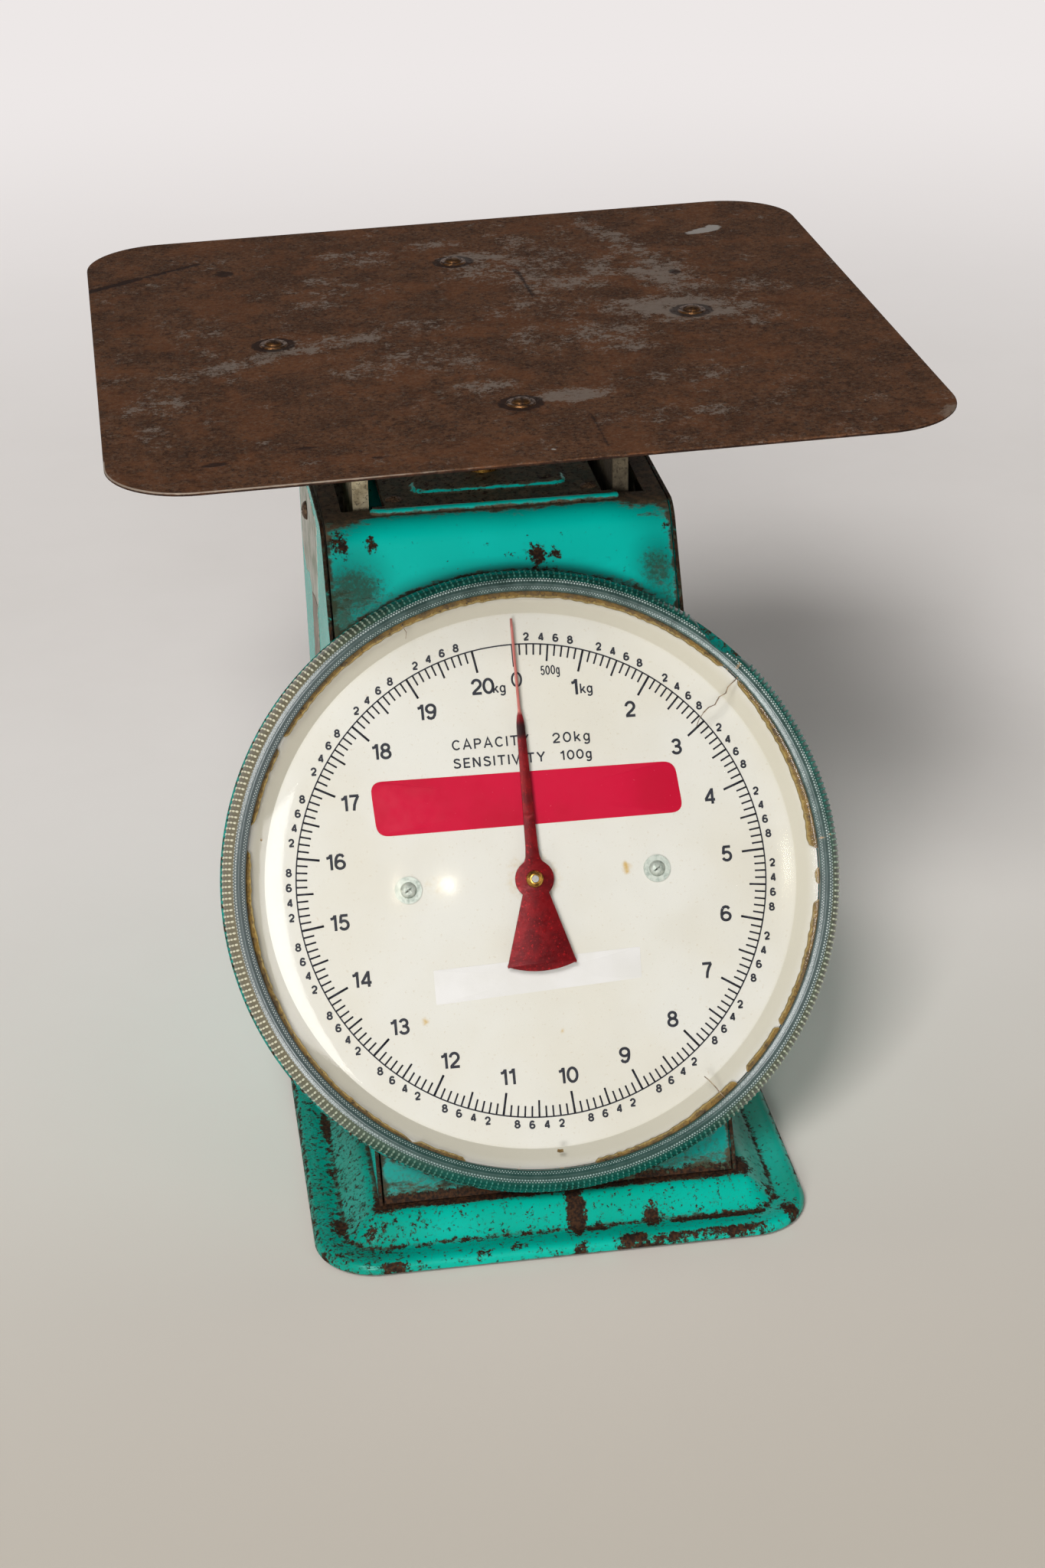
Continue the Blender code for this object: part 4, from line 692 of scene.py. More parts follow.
paper = Finish("torn_paper", Roughness=0.85, Specular_IOR_Level=0.2)
fibres = paper.cloud(1.4, 5, 0.7, (1, 1, 4))
stained = paper.level(paper.cloud(9, 4, 0.6), 0.4, 0.66)
paper.lay(
    Base_Color=paper.mixed(
        stained, paper.mixed(fibres, paint(206, 206, 196), paint(232, 230, 222)), paint(176, 182, 166),
    )
)
paper.bumps(fibres, 0.08)
tape = Finish("old_tape", Roughness=0.6, Specular_IOR_Level=0.3)
threads = tape.cloud(0.9, 4, 0.6, (1, 1, 9))
tape.lay(Base_Color=tape.mixed(tape.level(threads, 0.38, 0.62), paint(122, 108, 98), paint(188, 174, 162)))
tape.bumps(threads, 0.2)


def scrap(name, outline, lift, finish, ragged, seed):
    """A thin torn piece stuck flat on the left panel, from a (y, z) outline with a ragged edge."""
    fray = np.random.default_rng(seed)
    ring = []
    for (y0, z0), (y1, z1) in zip(outline, outline[1:] + outline[:1]):
        for t in np.linspace(0, 1, max(3, int(hypot(y1 - y0, z1 - z0) / 1.5)), endpoint=False):
            ring.append(
                (y0 + (y1 - y0) * t + fray.normal(0, ragged), z0 + (z1 - z0) * t + fray.normal(0, ragged))
            )
    ring = np.array(ring)
    fronts = np.array([panel_front(z) for z in ring[:, 1]])
    out = sprung(np.clip((ring[:, 0] - fronts) / (body_back - fronts), 0, 1), ring[:, 1])
    count = len(ring)
    points = [(-panel_face - o - depth, y, z) for depth in (0.0, lift) for o, (y, z) in zip(out, ring)]
    faces = [tuple(range(count)), tuple(range(count, 2 * count))[::-1]] + net(2, count, True)
    settle(shape(name, points, faces, finish), "housing", "cream_enamel")


label_outline = [(0, 205), (30, 207), (64, 203), (65, 176), (52, 168), (40, 172), (24, 163), (8, 171)]
scrap("label_remains", label_outline, 0.12, paper.material, 0.45, 3)
tape_outline = [(12, 171), (30, 168), (33, 140), (22, 108), (9, 112), (10, 140)]
scrap("peeled_tape", tape_outline, 0.3, tape.material, 0.5, 8)


# Back cover
# A flat sheet let in between the side panels and screwed to the chassis lips, not seen in the photo.
# It is enamelled like the rest, with dust at its foot and chipped edges.
back_low, back_high = (1000 * np.array(corner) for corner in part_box("back_cover"))
back_screw_x, back_screw_z = 49.9, 110.65
back_x, back_z = np.linspace(back_low[0], back_high[0], 48), np.linspace(back_low[2], back_high[2], 80)
back_points = np.array([(x, (back_low[1] + back_high[1]) / 2, z) for z in back_z for x in back_x])
on_back = back_points[:, [0, 2]]
in_from_side, from_foot = back_high[0] - np.abs(on_back[:, 0]), on_back[:, 1] - back_low[2]
back_rust = strongest(
    0.09,
    0.55 * np.clip(1.3 - in_from_side / 1.2, 0, 1),
    0.62 * np.clip(1.3 - from_foot / 4, 0, 1),
    *blots(
        on_back, (-49.9, 110.6, 5, 6, 0, 0.55), (49.9, 110.6, 5, 6, 0, 0.55), (20, 60, 5, 8, 30, 0.42),
        (-30, 180, 9, 4, 0, 0.4),
    ),
)
back_grime = strongest(
    0.15, 0.6 * np.clip(1.2 - from_foot / 14, 0, 1),
    0.7 * np.clip(1.2 - (back_high[2] - on_back[:, 1]) / 9, 0, 1),
)
back = shape(
    "back_sheet", back_points, net(len(back_z), len(back_x)), lightened_body_enamel, rust=back_rust, grime=back_grime,
    scuff=0.3 * blot(on_back, 10, 120, 30, 40),
)
thicken(back, back_high[1] - back_low[1], 0.0)
settle(back, "housing", "teal_enamel", "back_cover")


# Housing screws
# Round-headed steel screws with crossed recesses hold the side panels and the back cover. Years of
# damp have turned them brown.
head = Recipe(
    "Screw head", Head_Radius="Float", Head_Height="Float", Bar_Length="Float", Bar_Width="Float",
    Bar_Depth="Float", Washer_Radius="Float", Washer_Sheet="Float",
)
ball = head.add("GeometryNodeMeshUVSphere", {"Segments": 28, "Rings": 20, "Radius": 1.0})
lift = head.vector(0.0, 0.0, head["Washer_Sheet"])
swell = head.vector(head["Head_Radius"], head["Head_Radius"], head["Head_Height"])
ball = head.add("GeometryNodeTransform", {"Geometry": ball, "Translation": lift, "Scale": swell})
bar_middle = head.sums("ADD", head["Washer_Sheet"], head["Head_Height"])
bars = []
for long_x in (True, False):
    lengths = (head["Bar_Length"], head["Bar_Width"]) if long_x else (head["Bar_Width"], head["Bar_Length"])
    bar = head.add(
        "GeometryNodeMeshCube",
        {"Size": head.vector(*lengths, head.sums("MULTIPLY", head["Bar_Depth"], 2.0))},
    )
    bars.append(
        head.add(
            "GeometryNodeTransform", {"Geometry": bar, "Translation": head.vector(0.0, 0.0, bar_middle)},
        )
    )
under = head.add("GeometryNodeMeshCube", {"Size": (40.0, 40.0, 20.0)})
drop = head.vector(0.0, 0.0, head.sums("ADD", head["Washer_Sheet"], -10.0))
under = head.add("GeometryNodeTransform", {"Geometry": under, "Translation": drop})
dome = head.add(
    "GeometryNodeMeshBoolean", {"Mesh 1": ball, "Mesh 2": [under, *bars]}, operation="DIFFERENCE",
)
washer_sizes = {"Vertices": 40, "Radius": head["Washer_Radius"], "Depth": head["Washer_Sheet"]}
washer = head.add("GeometryNodeMeshCylinder", washer_sizes, "Mesh")
half_sheet = head.vector(0.0, 0.0, head.sums("MULTIPLY", head["Washer_Sheet"], 0.5))
washer = head.add("GeometryNodeTransform", {"Geometry": washer, "Translation": half_sheet})
whole = head.add("GeometryNodeJoinGeometry", {"Geometry": [dome, washer]})
facing = head.add("GeometryNodeInputNamedAttribute", {"Name": "facing"}, data_type="FLOAT_VECTOR")
turn = head.add("FunctionNodeAlignRotationToVector", {"Vector": facing}, axis="Z")
turn = head.add(
    "FunctionNodeRotateRotation", {"Rotation": turn, "Rotate By": head.vector(0.0, 0.0, 0.6)},
    rotation_space="LOCAL",
)
head.close(
    head.add(
        "GeometryNodeInstanceOnPoints", {"Points": head["Geometry"], "Instance": whole, "Rotation": turn},
    )
)

rusty = Finish("rusted_screw", Metallic=0.35)
scale_rust = rusty.cloud(0.9, 5, 0.65)
rusty.lay(
    Base_Color=rusty.mixed(rusty.level(scale_rust, 0.36, 0.64), paint(50, 34, 24), paint(108, 84, 60))
)
rusty.lay(Roughness=rusty.level(scale_rust, 0.3, 0.7, 0.8, 0.5))
rusty.bumps(scale_rust, 0.15)
plain_head = dict(
    Head_Radius=3.4, Head_Height=1.75, Bar_Length=3.6, Bar_Width=0.75, Bar_Depth=1.0, Washer_Radius=2.2,
    Washer_Sheet=0.12,
)
side_seats = [(side * panel_face, y, z) for side in (-1, 1) for y, z in (upper_screw, lower_screw)]
sprung_seat = 0.75
side_seats[0] = (-panel_face - sprung_seat, *upper_screw)
outwards = [(np.sign(x), 0.0, 0.0) for x, _, _ in side_seats]
side_screws = crease(
    head.grow("side_panel_screws", rusty.material, points=side_seats, facing=outwards, **plain_head)
)
fasten(
    side_screws, "housing", "brown_steel", "left_screw_upper", "left_screw_lower", "right_screw_upper",
    "right_screw_lower",
)
back_seats = [(x, body_back, back_screw_z) for x in (-back_screw_x, back_screw_x)]
back_screws = crease(
    head.grow(
        "back_cover_screws", rusty.material, points=back_seats, facing=[(0.0, 1.0, 0.0)] * 2, **plain_head
    )
)
fasten(back_screws, "housing", "bright_steel", "back_screw_left", "back_screw_right")


# Top plate
# A stiffening plate pressed from sheet: a rolled bead along its front, a raised pad under the zero
# knob, and ears round the post slots. Two screws hold it; only its raised edges have stayed clean.
plate_top, plate_sheet = 211.8, 1.0
ear_x, plate_x, strip_front, strip_back, plate_back = 42.1, 37.8, -10.0, -5.8, 52.5
pad_half, pad_mid, pad_corner, pad_rise = (26.5, 18.0), (0.0, 21.5), 4, 1.2
plate_cols = np.unique(np.round(np.r_[np.linspace(-ear_x, ear_x, 74), -plate_x, plate_x], 3))
plate_rows = np.unique(np.round(np.r_[np.linspace(strip_front, plate_back, 56), strip_back], 3))
plate_points = np.array([(x, y, plate_top) for y in plate_rows for x in plate_cols])
past_corner = np.clip(np.abs(plate_points[:, :2] - pad_mid) - pad_half + pad_corner, 0, None)
inside_pad = np.hypot(*past_corner.T) - pad_corner
on_pad = np.clip(0.5 - inside_pad / 2.4, 0, 1)
plate_points[:, 2] += pad_rise * on_pad**2 * (3 - 2 * on_pad)
on_plate = plate_points[:, :2]
dimples = strongest(*(blot(on_plate, x, y, 1.3, 1.3) for x, y in ((-13.4, 6.5), (20.0, 8.0))))
plate_points[:, 2] -= 0.55 * dimples
plate_faces = []
for quad in net(len(plate_rows), len(plate_cols)):
    x, y, _ = plate_points[list(quad)].mean(axis=0)
    if abs(x) < plate_x or y < strip_back:
        plate_faces.append(quad)
pad_edge = np.clip(1.25 - np.abs(inside_pad + 0.2) / 1.1, 0, 1) * (plate_points[:, 1] < 12)
plate_grime = 1.15 - 0.85 * pad_edge - 0.25 * blot(on_plate, 34, 30, 6, 12)
top_plate = shape(
    "pressed_top_plate", plate_points, plate_faces, lightened_body_enamel,
    rust=0.34 + 0.25 * dimples - 0.2 * pad_edge, grime=plate_grime, scuff=0.4 * pad_edge,
)
thicken(top_plate, plate_sheet, 1.0)
settle(top_plate, "housing", "teal_enamel", "top_plate")


def tube(path, radius, sides=14):
    """A round bar with domed ends along a straight or gently bent path, as points and faces."""
    path = [np.array(p, float) for p in path]
    rings, caps = [], np.linspace(0, pi / 2, 5)
    lead, tail = path[1] - path[0], path[-1] - path[-2]
    lead, tail = lead / np.linalg.norm(lead), tail / np.linalg.norm(tail)
    spots = [(path[0] - lead * radius * cos(a), radius * sin(a) + 1e-3) for a in caps[:-1]]
    spots += [(p, radius) for p in path]
    spots += [(path[-1] + tail * radius * cos(a), radius * sin(a) + 1e-3) for a in caps[::-1][1:]]
    for i, (p, r) in enumerate(spots):
        ahead = spots[min(i + 1, len(spots) - 1)][0] - spots[max(i - 1, 0)][0]
        ahead = ahead / np.linalg.norm(ahead)
        across = np.cross(ahead, (0, 0, 1))
        across = across / np.linalg.norm(across)
        rise_axis = np.cross(across, ahead)
        rings += [
            p + r * (cos(a) * across + sin(a) * rise_axis)
            for a in np.linspace(0, 2 * pi, sides, endpoint=False)
        ]
    faces = net(len(spots), sides, True) + [
        tuple(range(sides))[::-1], tuple(range(len(rings) - sides, len(rings))),
    ]
    return np.array(rings), faces


bead_height = 212.1
bead_path = [
    (x, strip_front + 0.9 * np.clip((abs(x) - 39.5) / 3, 0, 1) ** 2, bead_height)
    for x in np.linspace(-42.0, 42.0, 90)
]
bead_points, bead_faces = tube(bead_path, 1.3)
bead_wear = np.clip(0.5 + (bead_points[:, 2] - bead_height) / 1.6, 0, 1)
bead = shape(
    "top_plate_bead", bead_points, bead_faces, lightened_body_enamel, rust=0.36 - 0.3 * bead_wear,
    grime=1.0 - 0.72 * bead_wear, scuff=0.3 * bead_wear, aged=np.full(len(bead_points), 0.45),
)
settle(bead, "housing", "teal_enamel")

top_seats = [(-34.1, 0.0, plate_top), (34.1, 0.0, plate_top)]
top_screws = crease(
    head.grow(
        "top_plate_screws", rusty.material, points=top_seats, facing=[(0.0, 0.0, 1.0)] * 2, **plain_head
    )
)
fasten(top_screws, "housing", "brown_steel", "top_plate_screw_left", "top_plate_screw_right")


# Zero knob
# A turned brass knob on the zero screw, its rim straight-knurled for the fingers and its edges
# chamfered. It stands just above the raised pad.
def lathe(profile, sides, place):
    """Turn a closed profile of (radius, height) points; points on the axis become single points."""
    points, rows = [], []
    for r, h in profile:
        if r < 1e-6:
            rows.append([len(points)])
            points.append(place @ Vector((0, 0, h)))
        else:
            rows.append(list(range(len(points), len(points) + sides)))
            angles = [2 * pi * i / sides for i in range(sides)]
            points += [place @ Vector((r * sin(a), r * cos(a), h)) for a in angles]
    faces = []
    loop = rows if rows[0][0] == rows[-1][0] or len(rows[0]) == 1 else rows + [rows[0]]
    for a, b in zip(loop, loop[1:]):
        for i in range(sides):
            j = (i + 1) % sides
            corner = [a[i % len(a)], a[j % len(a)], b[j % len(b)], b[i % len(b)]]
            face = [v for k, v in enumerate(corner) if v not in corner[:k]]
            if len(face) > 2:
                faces.append(tuple(face))
    return np.array(points), faces


ring_of = {}
for label, kind, sizes in (
    ("Blocks", "GeometryNodeMeshCube", {"Size": (1.0, 1.0, 1.0)}),
    ("Beads", "GeometryNodeMeshIcoSphere", {"Radius": 0.5, "Subdivisions": 2}),
):
    ring = Recipe(
        f"{label} in a ring", Count="Int", First="Float", Step="Float", Radius="Float", Height="Float",
        Size="Vector", Every="Float", Left_Out="Float", Gap_From="Float", Gap_To="Float",
    )
    index = ring.add("GeometryNodeInputIndex", {})
    angle = ring.sums("ADD", ring["First"], ring.sums("MULTIPLY", ring["Step"], index))
    line = ring.add("GeometryNodeMeshLine", {"Count": ring["Count"], "Offset": (0.0, 0.0, 0.0)})
    across = ring.sums("MULTIPLY", ring["Radius"], ring.sums("SINE", angle, 0.0))
    up = ring.sums("MULTIPLY", ring["Radius"], ring.sums("COSINE", angle, 0.0))
    spot = ring.vector(across, up, ring["Height"])
    line = ring.add("GeometryNodeSetPosition", {"Geometry": line, "Position": spot})
    place_in_set = ring.sums("FLOORED_MODULO", index, ring["Every"])
    from_left_out = ring.sums("ABSOLUTE", ring.sums("SUBTRACT", place_in_set, ring["Left_Out"]), 0.0)
    kept = ring.sums("GREATER_THAN", from_left_out, 0.5)
    past = ring.sums("GREATER_THAN", angle, ring["Gap_From"])
    short = ring.sums("LESS_THAN", angle, ring["Gap_To"])
    kept = ring.sums("SUBTRACT", kept, ring.sums("MULTIPLY", past, short))
    kept = ring.sums("GREATER_THAN", kept, 0.5)
    one = ring.add(kind, sizes, "Mesh")
    around_axis = ring.vector(0.0, 0.0, ring.sums("MULTIPLY", angle, -1.0))
    ring.close(
        ring.add(
            "GeometryNodeInstanceOnPoints",
            {
                "Points": line, "Selection": kept, "Instance": one, "Rotation": around_axis,
                "Scale": ring["Size"],
            },
        )
    )
    ring_of[label] = ring


def ringed(
    name, label, material, place, count, step, radius, height, size, first=0.0, every=1.0, left_out=-1.0,
    gap=(0.0, 0.0),
):
    """Pieces set round a circle, clockwise from the top, as one mesh; its angles are in degrees."""
    return ring_of[label].grow(
        name, material, place, Count=count, First=radians(first), Step=radians(step), Radius=radius,
        Height=height, Size=size, Every=every, Left_Out=left_out, Gap_From=radians(gap[0]),
        Gap_To=radians(gap[1]),
    )


knob_place, knob_ridges = Matrix.Translation((0.0, 21.5, 213.3)), 64
knob_profile = [(0, 0), (4.5, 0), (5.3, 0.6), (5.3, 9.3), (4.6, 10.0), (2.4, 10.0), (2.2, 9.8), (0, 9.8)]
knob_points, knob_faces = lathe(knob_profile, knob_ridges, knob_place)
settle(
    shape("turned_zero_knob", knob_points, knob_faces, brass.material), "zero_adjuster", "brass",
    "zero_knob",
)
knurl_place = knob_place @ Matrix.Translation((0, 0, 4.95))
knurl = ringed(
    "zero_knob_knurl", "Blocks", brass.material, knurl_place, knob_ridges, 360 / knob_ridges, 5.3, 0.0,
    (0.32, 0.7, 8.0),
)
fasten(crease(knurl), "zero_adjuster", "brass")


# Dial casing
# A shallow dish of enamelled sheet on the sloping front, with an upright wall and an outer flange. It
# shows teal through the clear cover's rim and where that rim has broken away.
dial_place = Matrix.Translation(dial_middle) @ Matrix.Rotation(radians(60), 4, "X")
casing_profile = [
    (4.4, -3.35), (60, -3.35), (98.4, -3.35), (98.9, -2.9), (98.9, 4.0), (99.1, 4.2), (99.7, 4.2),
    (99.9, 4.0), (99.9, -1.7), (100.3, -2.0), (104.9, -2.0), (105.3, -2.3), (105.3, -2.7), (104.9, -3.0),
    (100.0, -3.0), (98.2, -4.35), (60, -4.35), (4.4, -4.35),
]
casing_points, casing_faces = lathe(casing_profile, 256, dial_place)
casing_spread = np.hypot(casing_points[:, 0], (casing_points - dial_middle) @ dial_up)
# Past the upright wall the casing is painted darker and grimier, as painted shade under the cover's rim.
casing = shape(
    "dial_dish", casing_points, casing_faces, lightened_body_enamel, rust=np.where(casing_spread > 104.5, 0.36, 0.1),
    grime=np.where(casing_spread > 100, 0.32, 0.1),
    aged=np.where(casing_spread > 99.5, 0.9, 0.2), scuff=np.where(casing_spread > 98.5, 0.55, 0.0),
)
settle(casing, "housing", "teal_enamel", "dial_casing")


# Dial plate
# A steel disc enamelled cream, its rim turned up in a bevel that carries the cover's bed of glue. Age
# has yellowed it near the screws and left small stains.
bevel_start, bevel_end, bevel_rise = 90.5, 96.2, 5.2
dial_radii = np.r_[4.6, np.arange(6, 90, 2.0), 89.6, bevel_start]
dial_profile = [(r, 0.0) for r in dial_radii]
dial_profile += [
    (bevel_start + (bevel_end - bevel_start) * t, bevel_rise * t) for t in (0.06, 0.3, 0.55, 0.8, 1.0)
]
dial_profile += [(97.0, bevel_rise), (91.3, -0.8), (4.6, -0.8)]
dial_points, dial_faces = lathe(dial_profile, 256, dial_place)
dial_xy = np.c_[dial_points[:, 0], (dial_points - dial_middle) @ dial_up]
dial_spread = np.hypot(*dial_xy.T)
stain = strongest(
    0.35 * np.clip(1.2 - np.abs(dial_spread - 7) / 5, 0, 1),
    *blots(
        dial_xy, (32.2, 1.2, 1.6, 2.6, 8, 0.8), (-33, 0.6, 6.0, 5.0, 0, 0.3), (5.5, -52, 0.9, 0.9, 0, 0.55),
        (4.9, -58.3, 0.8, 0.8, 0, 0.5), (-40.9, -44.5, 1.5, 1.3, 0, 0.75), (53.3, -45.3, 1.2, 1.6, 0, 0.4),
    ),
)
# The bevel is painted greyer, as painted shade under the cover's rim.
bevel_shade_mark = np.clip((dial_spread - 90.2) / 0.6, 0, 1) * np.clip((95.4 - dial_spread) / 0.6, 0, 1)
cream = Finish("dial_enamel", Specular_IOR_Level=0.4)
aged = cream.mixed(cream.level(cream.cloud(48, 3), 0.35, 0.7), paint(201, 199, 190), paint(197, 193, 180))
freckles = cream.level(cream.cloud(0.9, 2, 0.5, (1, 1, 1), 5.0), 0.66, 0.72)
aged = cream.mixed(cream.sums("MULTIPLY", freckles, 0.35), aged, paint(176, 160, 132))
aged = cream.mixed(cream.sums("MULTIPLY", cream.mark("bevel"), 0.85), aged, paint(188, 183, 166))
aged = cream.mixed(
    cream.ragged(cream.mark("stain"), cream.cloud(1.6, 4), 0.7, 0.2, 0.9), aged, paint(182, 152, 88),
)
cream.lay(Base_Color=aged, Roughness=cream.level(cream.cloud(14, 3), 0.3, 0.7, 0.3, 0.44))
cream.bumps(cream.cloud(3.0, 2), 0.02)
dial_disc = shape("dial_disc", dial_points, dial_faces, cream.material, stain=stain, bevel=bevel_shade_mark)
settle(dial_disc, "housing", "cream_enamel", "dial_plate")


# Printed scale
# Black print on the dial: a fine circle, a tick for each 100 g with longer ones at 500 g and each
# kilogram, the kilogram numbers inside it and small even hundreds outside.
ink = Finish("dial_ink", Roughness=0.5, Specular_IOR_Level=0.3)
ink.lay(Base_Color=ink.mixed(ink.level(ink.cloud(1.2, 4), 0.4, 0.72), paint(8, 10, 22), paint(28, 30, 42)))
scale_radius, kilogram, ink_lift = 80.0, 17.5, 0.06
marks = [
    ringed(
        "kilogram_ticks", "Blocks", ink.material, dial_place, 21, kilogram, scale_radius - 3.8,
        ink_lift / 2, (0.76, 7.6, ink_lift),
    ),
    ringed(
        "half_kilogram_ticks", "Blocks", ink.material, dial_place, 20, kilogram, scale_radius - 2.85,
        ink_lift / 2, (0.66, 5.7, ink_lift), kilogram / 2,
    ),
    ringed(
        "hundred_gram_ticks", "Blocks", ink.material, dial_place, 201, kilogram / 10, scale_radius - 1.87,
        ink_lift / 2, (0.58, 3.75, ink_lift), every=5.0, left_out=0.0,
    ),
]
line_profile = [(79.76, 0.0), (79.76, ink_lift), (80.24, ink_lift), (80.24, 0.0)]
line_points, line_faces = lathe(line_profile, 360, dial_place)
marks.append(shape("scale_circle", line_points, line_faces, ink.material))


def bow(x, y, reach_x, reach_y, start, end, steps=15):
    """Points along an elliptical pen stroke, its angles in degrees anticlockwise from the right."""
    return [
        (x + reach_x * cos(radians(a)), y + reach_y * sin(radians(a)))
        for a in np.linspace(start, end, steps)
    ]


ess = [
    (.59, .79), (.52, .89), (.35, .935), (.18, .9), (.1, .78), (.14, .65), (.3, .56), (.46, .49), (.6, .39),
    (.62, .22), (.52, .1), (.34, .065), (.16, .1), (.06, .23),
]
six = [(.068, .31), (.072, .5), (.12, .74), (.22, .89), (.36, .935), (.5, .895), (.585, .775)]
pen = {
    "0": (.72, [bow(.36, .5, .295, .435, 0, 360, 29)]),
    "1": (.46, [[(.33, 0), (.33, 1)], [(.03, .765), (.16, .785), (.25, .84), (.3, .95)]]),
    "2": (
        .66,
        [
            bow(.33, .665, .262, .27, 176, -24) + [(.44, .41), (.24, .25), (.12, .13), (.095, .065)],
            [(.03, .065), (.635, .065)],
        ],
    ),
    "3": (
        .66,
        [
            bow(.32, .725, .225, .21, 168, -90), bow(.32, .29, .265, .225, 90, -166),
            [(.22, .515), (.34, .515)],
        ],
    ),
    "4": (.68, [[(.51, 0), (.51, 1)], [(.5, .94), (.07, .29)], [(.02, .27), (.68, .27)]]),
    "5": (
        .66, [[(.13, .935), (.6, .935)], [(.17, .935), (.115, .47)], bow(.33, .335, .27, .27, 148, -158)],
    ),
    "6": (.68, [bow(.345, .31, .277, .245, 0, 360, 25), six]),
    "7": (.62, [[(.02, .935), (.61, .935)], [(.585, .93), (.42, .64), (.31, .36), (.26, 0)]]),
    "8": (.68, [bow(.34, .735, .225, .2, 0, 360, 23), bow(.34, .295, .277, .23, 0, 360, 25)]),
    "9": (.68, [bow(.335, .69, .277, .245, 0, 360, 25), [(.68 - x, 1 - y) for x, y in six]]),
    "C": (.76, [bow(.42, .5, .345, .435, 42, 318, 21)]),
    "A": (.74, [[(.02, 0), (.37, 1), (.72, 0)], [(.15, .33), (.59, .33)]]),
    "P": (
        .66,
        [
            [(.07, 0), (.07, 1)],
            [(.07, .935), (.36, .935), *bow(.38, .7, .22, .235, 80, -80, 9), (.36, .465), (.07, .465)],
        ],
    ),
    "I": (.14, [[(.07, 0), (.07, 1)]]),
    "T": (.7, [[(0, .935), (.7, .935)], [(.35, 0), (.35, .935)]]),
    "Y": (.7, [[(.01, 1), (.35, .47), (.69, 1)], [(.35, 0), (.35, .5)]]),
    "S": (.68, [ess]),
    "E": (
        .6,
        [
            [(.07, 0), (.07, 1)], [(.07, .935), (.6, .935)], [(.07, .5), (.56, .5)],
            [(.07, .065), (.6, .065)],
        ],
    ),
    "N": (.72, [[(.07, 0), (.07, 1)], [(.65, 0), (.65, 1)], [(.07, .98), (.65, .02)]]),
    "V": (.7, [[(.01, 1), (.35, 0), (.69, 1)]]),
    "k": (.54, [[(.07, 0), (.07, 1)], [(.09, .25), (.48, .68)], [(.22, .4), (.52, 0)]]),
    "g": (
        .58,
        [
            bow(.29, .36, .22, .31, 0, 360, 21),
            [(.51, .7), (.51, -.06), (.46, -.2), (.33, -.27), (.18, -.25), (.08, -.17)],
        ],
    ),
    " ": (.5, []),
}


class Strokes:
    """Thin flat ribbons drawn over the dial, gathered into one piece."""

    def __init__(self):
        self.points, self.faces = [], []

    def ribbon(self, path, wide, low, high):
        """A ribbon along one stroke, between two heights over the dial, closed all round."""
        path = np.array(path, float)
        loop = np.allclose(path[0], path[-1])
        path = path[:-1] if loop else path
        ahead = np.roll(path, -1, axis=0) - path
        ahead /= np.linalg.norm(ahead, axis=1)[:, None]
        behind = np.roll(ahead, 1, axis=0)
        if not loop:
            ahead[-1], behind[0] = ahead[-2], ahead[0]
        side = np.c_[-ahead[:, 1] - behind[:, 1], ahead[:, 0] + behind[:, 0]]
        side *= (wide / 2 / np.clip(1 + (ahead * behind).sum(axis=1), 0.35, None))[:, None]
        start, count = len(self.points), len(path)
        section = ((1, low), (-1, low), (-1, high), (1, high))
        self.points += [
            dial_place @ Vector((*(p + s * t), h)) for p, s in zip(path, side) for t, h in section
        ]
        for i in range(count if loop else count - 1):
            j = (i + 1) % count
            for k in range(4):
                n = (k + 1) % 4
                self.faces.append(tuple(start + v for v in (4 * i + k, 4 * j + k, 4 * j + n, 4 * i + n)))
        if not loop:
            self.faces.append(tuple(start + k for k in range(4)))
            self.faces.append(tuple(start + 4 * count - 4 + k for k in range(4))[::-1])

    def write(self, text, x, up, high, wide, reach=None, gap=0.13):
        """A word centred at (x, up), of a height and pen width, squeezed or spread to a reach."""
        span = sum(pen[letter][0] for letter in text) + gap * (len(text) - 1)
        squeeze = (reach or span * high) / span
        at = x - squeeze * span / 2
        for letter in text:
            for k, path in enumerate(pen[letter][1]):
                placed = [(at + px * squeeze, up + (py - 0.5) * high) for px, py in path]
                self.ribbon(placed, wide, 0.0, ink_lift + 0.004 * k)
            at += (pen[letter][0] + gap) * squeeze

    def piece(self, name, material, **marks):
        """The ribbons drawn so far, as one object."""
        return shape(name, self.points, self.faces, material, **marks)


scale_print, number_radius, tenth_radius = Strokes(), 67.0, 82.5
for n in range(1, 21):
    angle = radians(kilogram * n)
    aside, above = (0.4, 0.6) if n == 20 else (0.0, 0.0)
    scale_print.write(
        str(n), number_radius * sin(angle) + aside, number_radius * cos(angle) + above, 5.3, 0.94, gap=0.07,
    )
    for tenth in (2, 4, 6, 8):
        angle = radians(kilogram * (n - 1 + tenth / 10))
        scale_print.write(str(tenth), tenth_radius * sin(angle), tenth_radius * cos(angle), 2.6, 0.64)
scale_print.write("0", 0.5, 68.0, 5.3, 0.7)
scale_print.write("kg", -5.7, 65.7, 3.3, 0.54, 4.3)
scale_print.write("kg", 24.0, 63.2, 3.3, 0.54, 4.2)
scale_print.write("500g", 12.2, 70.35, 3.2, 0.44, 6.4, 0.2)
scale_print.write("CAPACITY", -10.4, 47.4, 3.4, 0.56, 26.2, 0.26)
scale_print.write("20kg", 17.3, 47.1, 3.45, 0.56, 12.8, 0.26)
scale_print.write("SENSITIVITY", -7.9, 41.15, 3.3, 0.58, 31.2, 0.26)
scale_print.write("100g", 18.4, 41.0, 3.2, 0.56, 10.7, 0.2)
marks.append(scale_print.piece("scale_numbers", ink.material))
for mark in marks:
    fasten(mark, "housing", "cream_enamel")


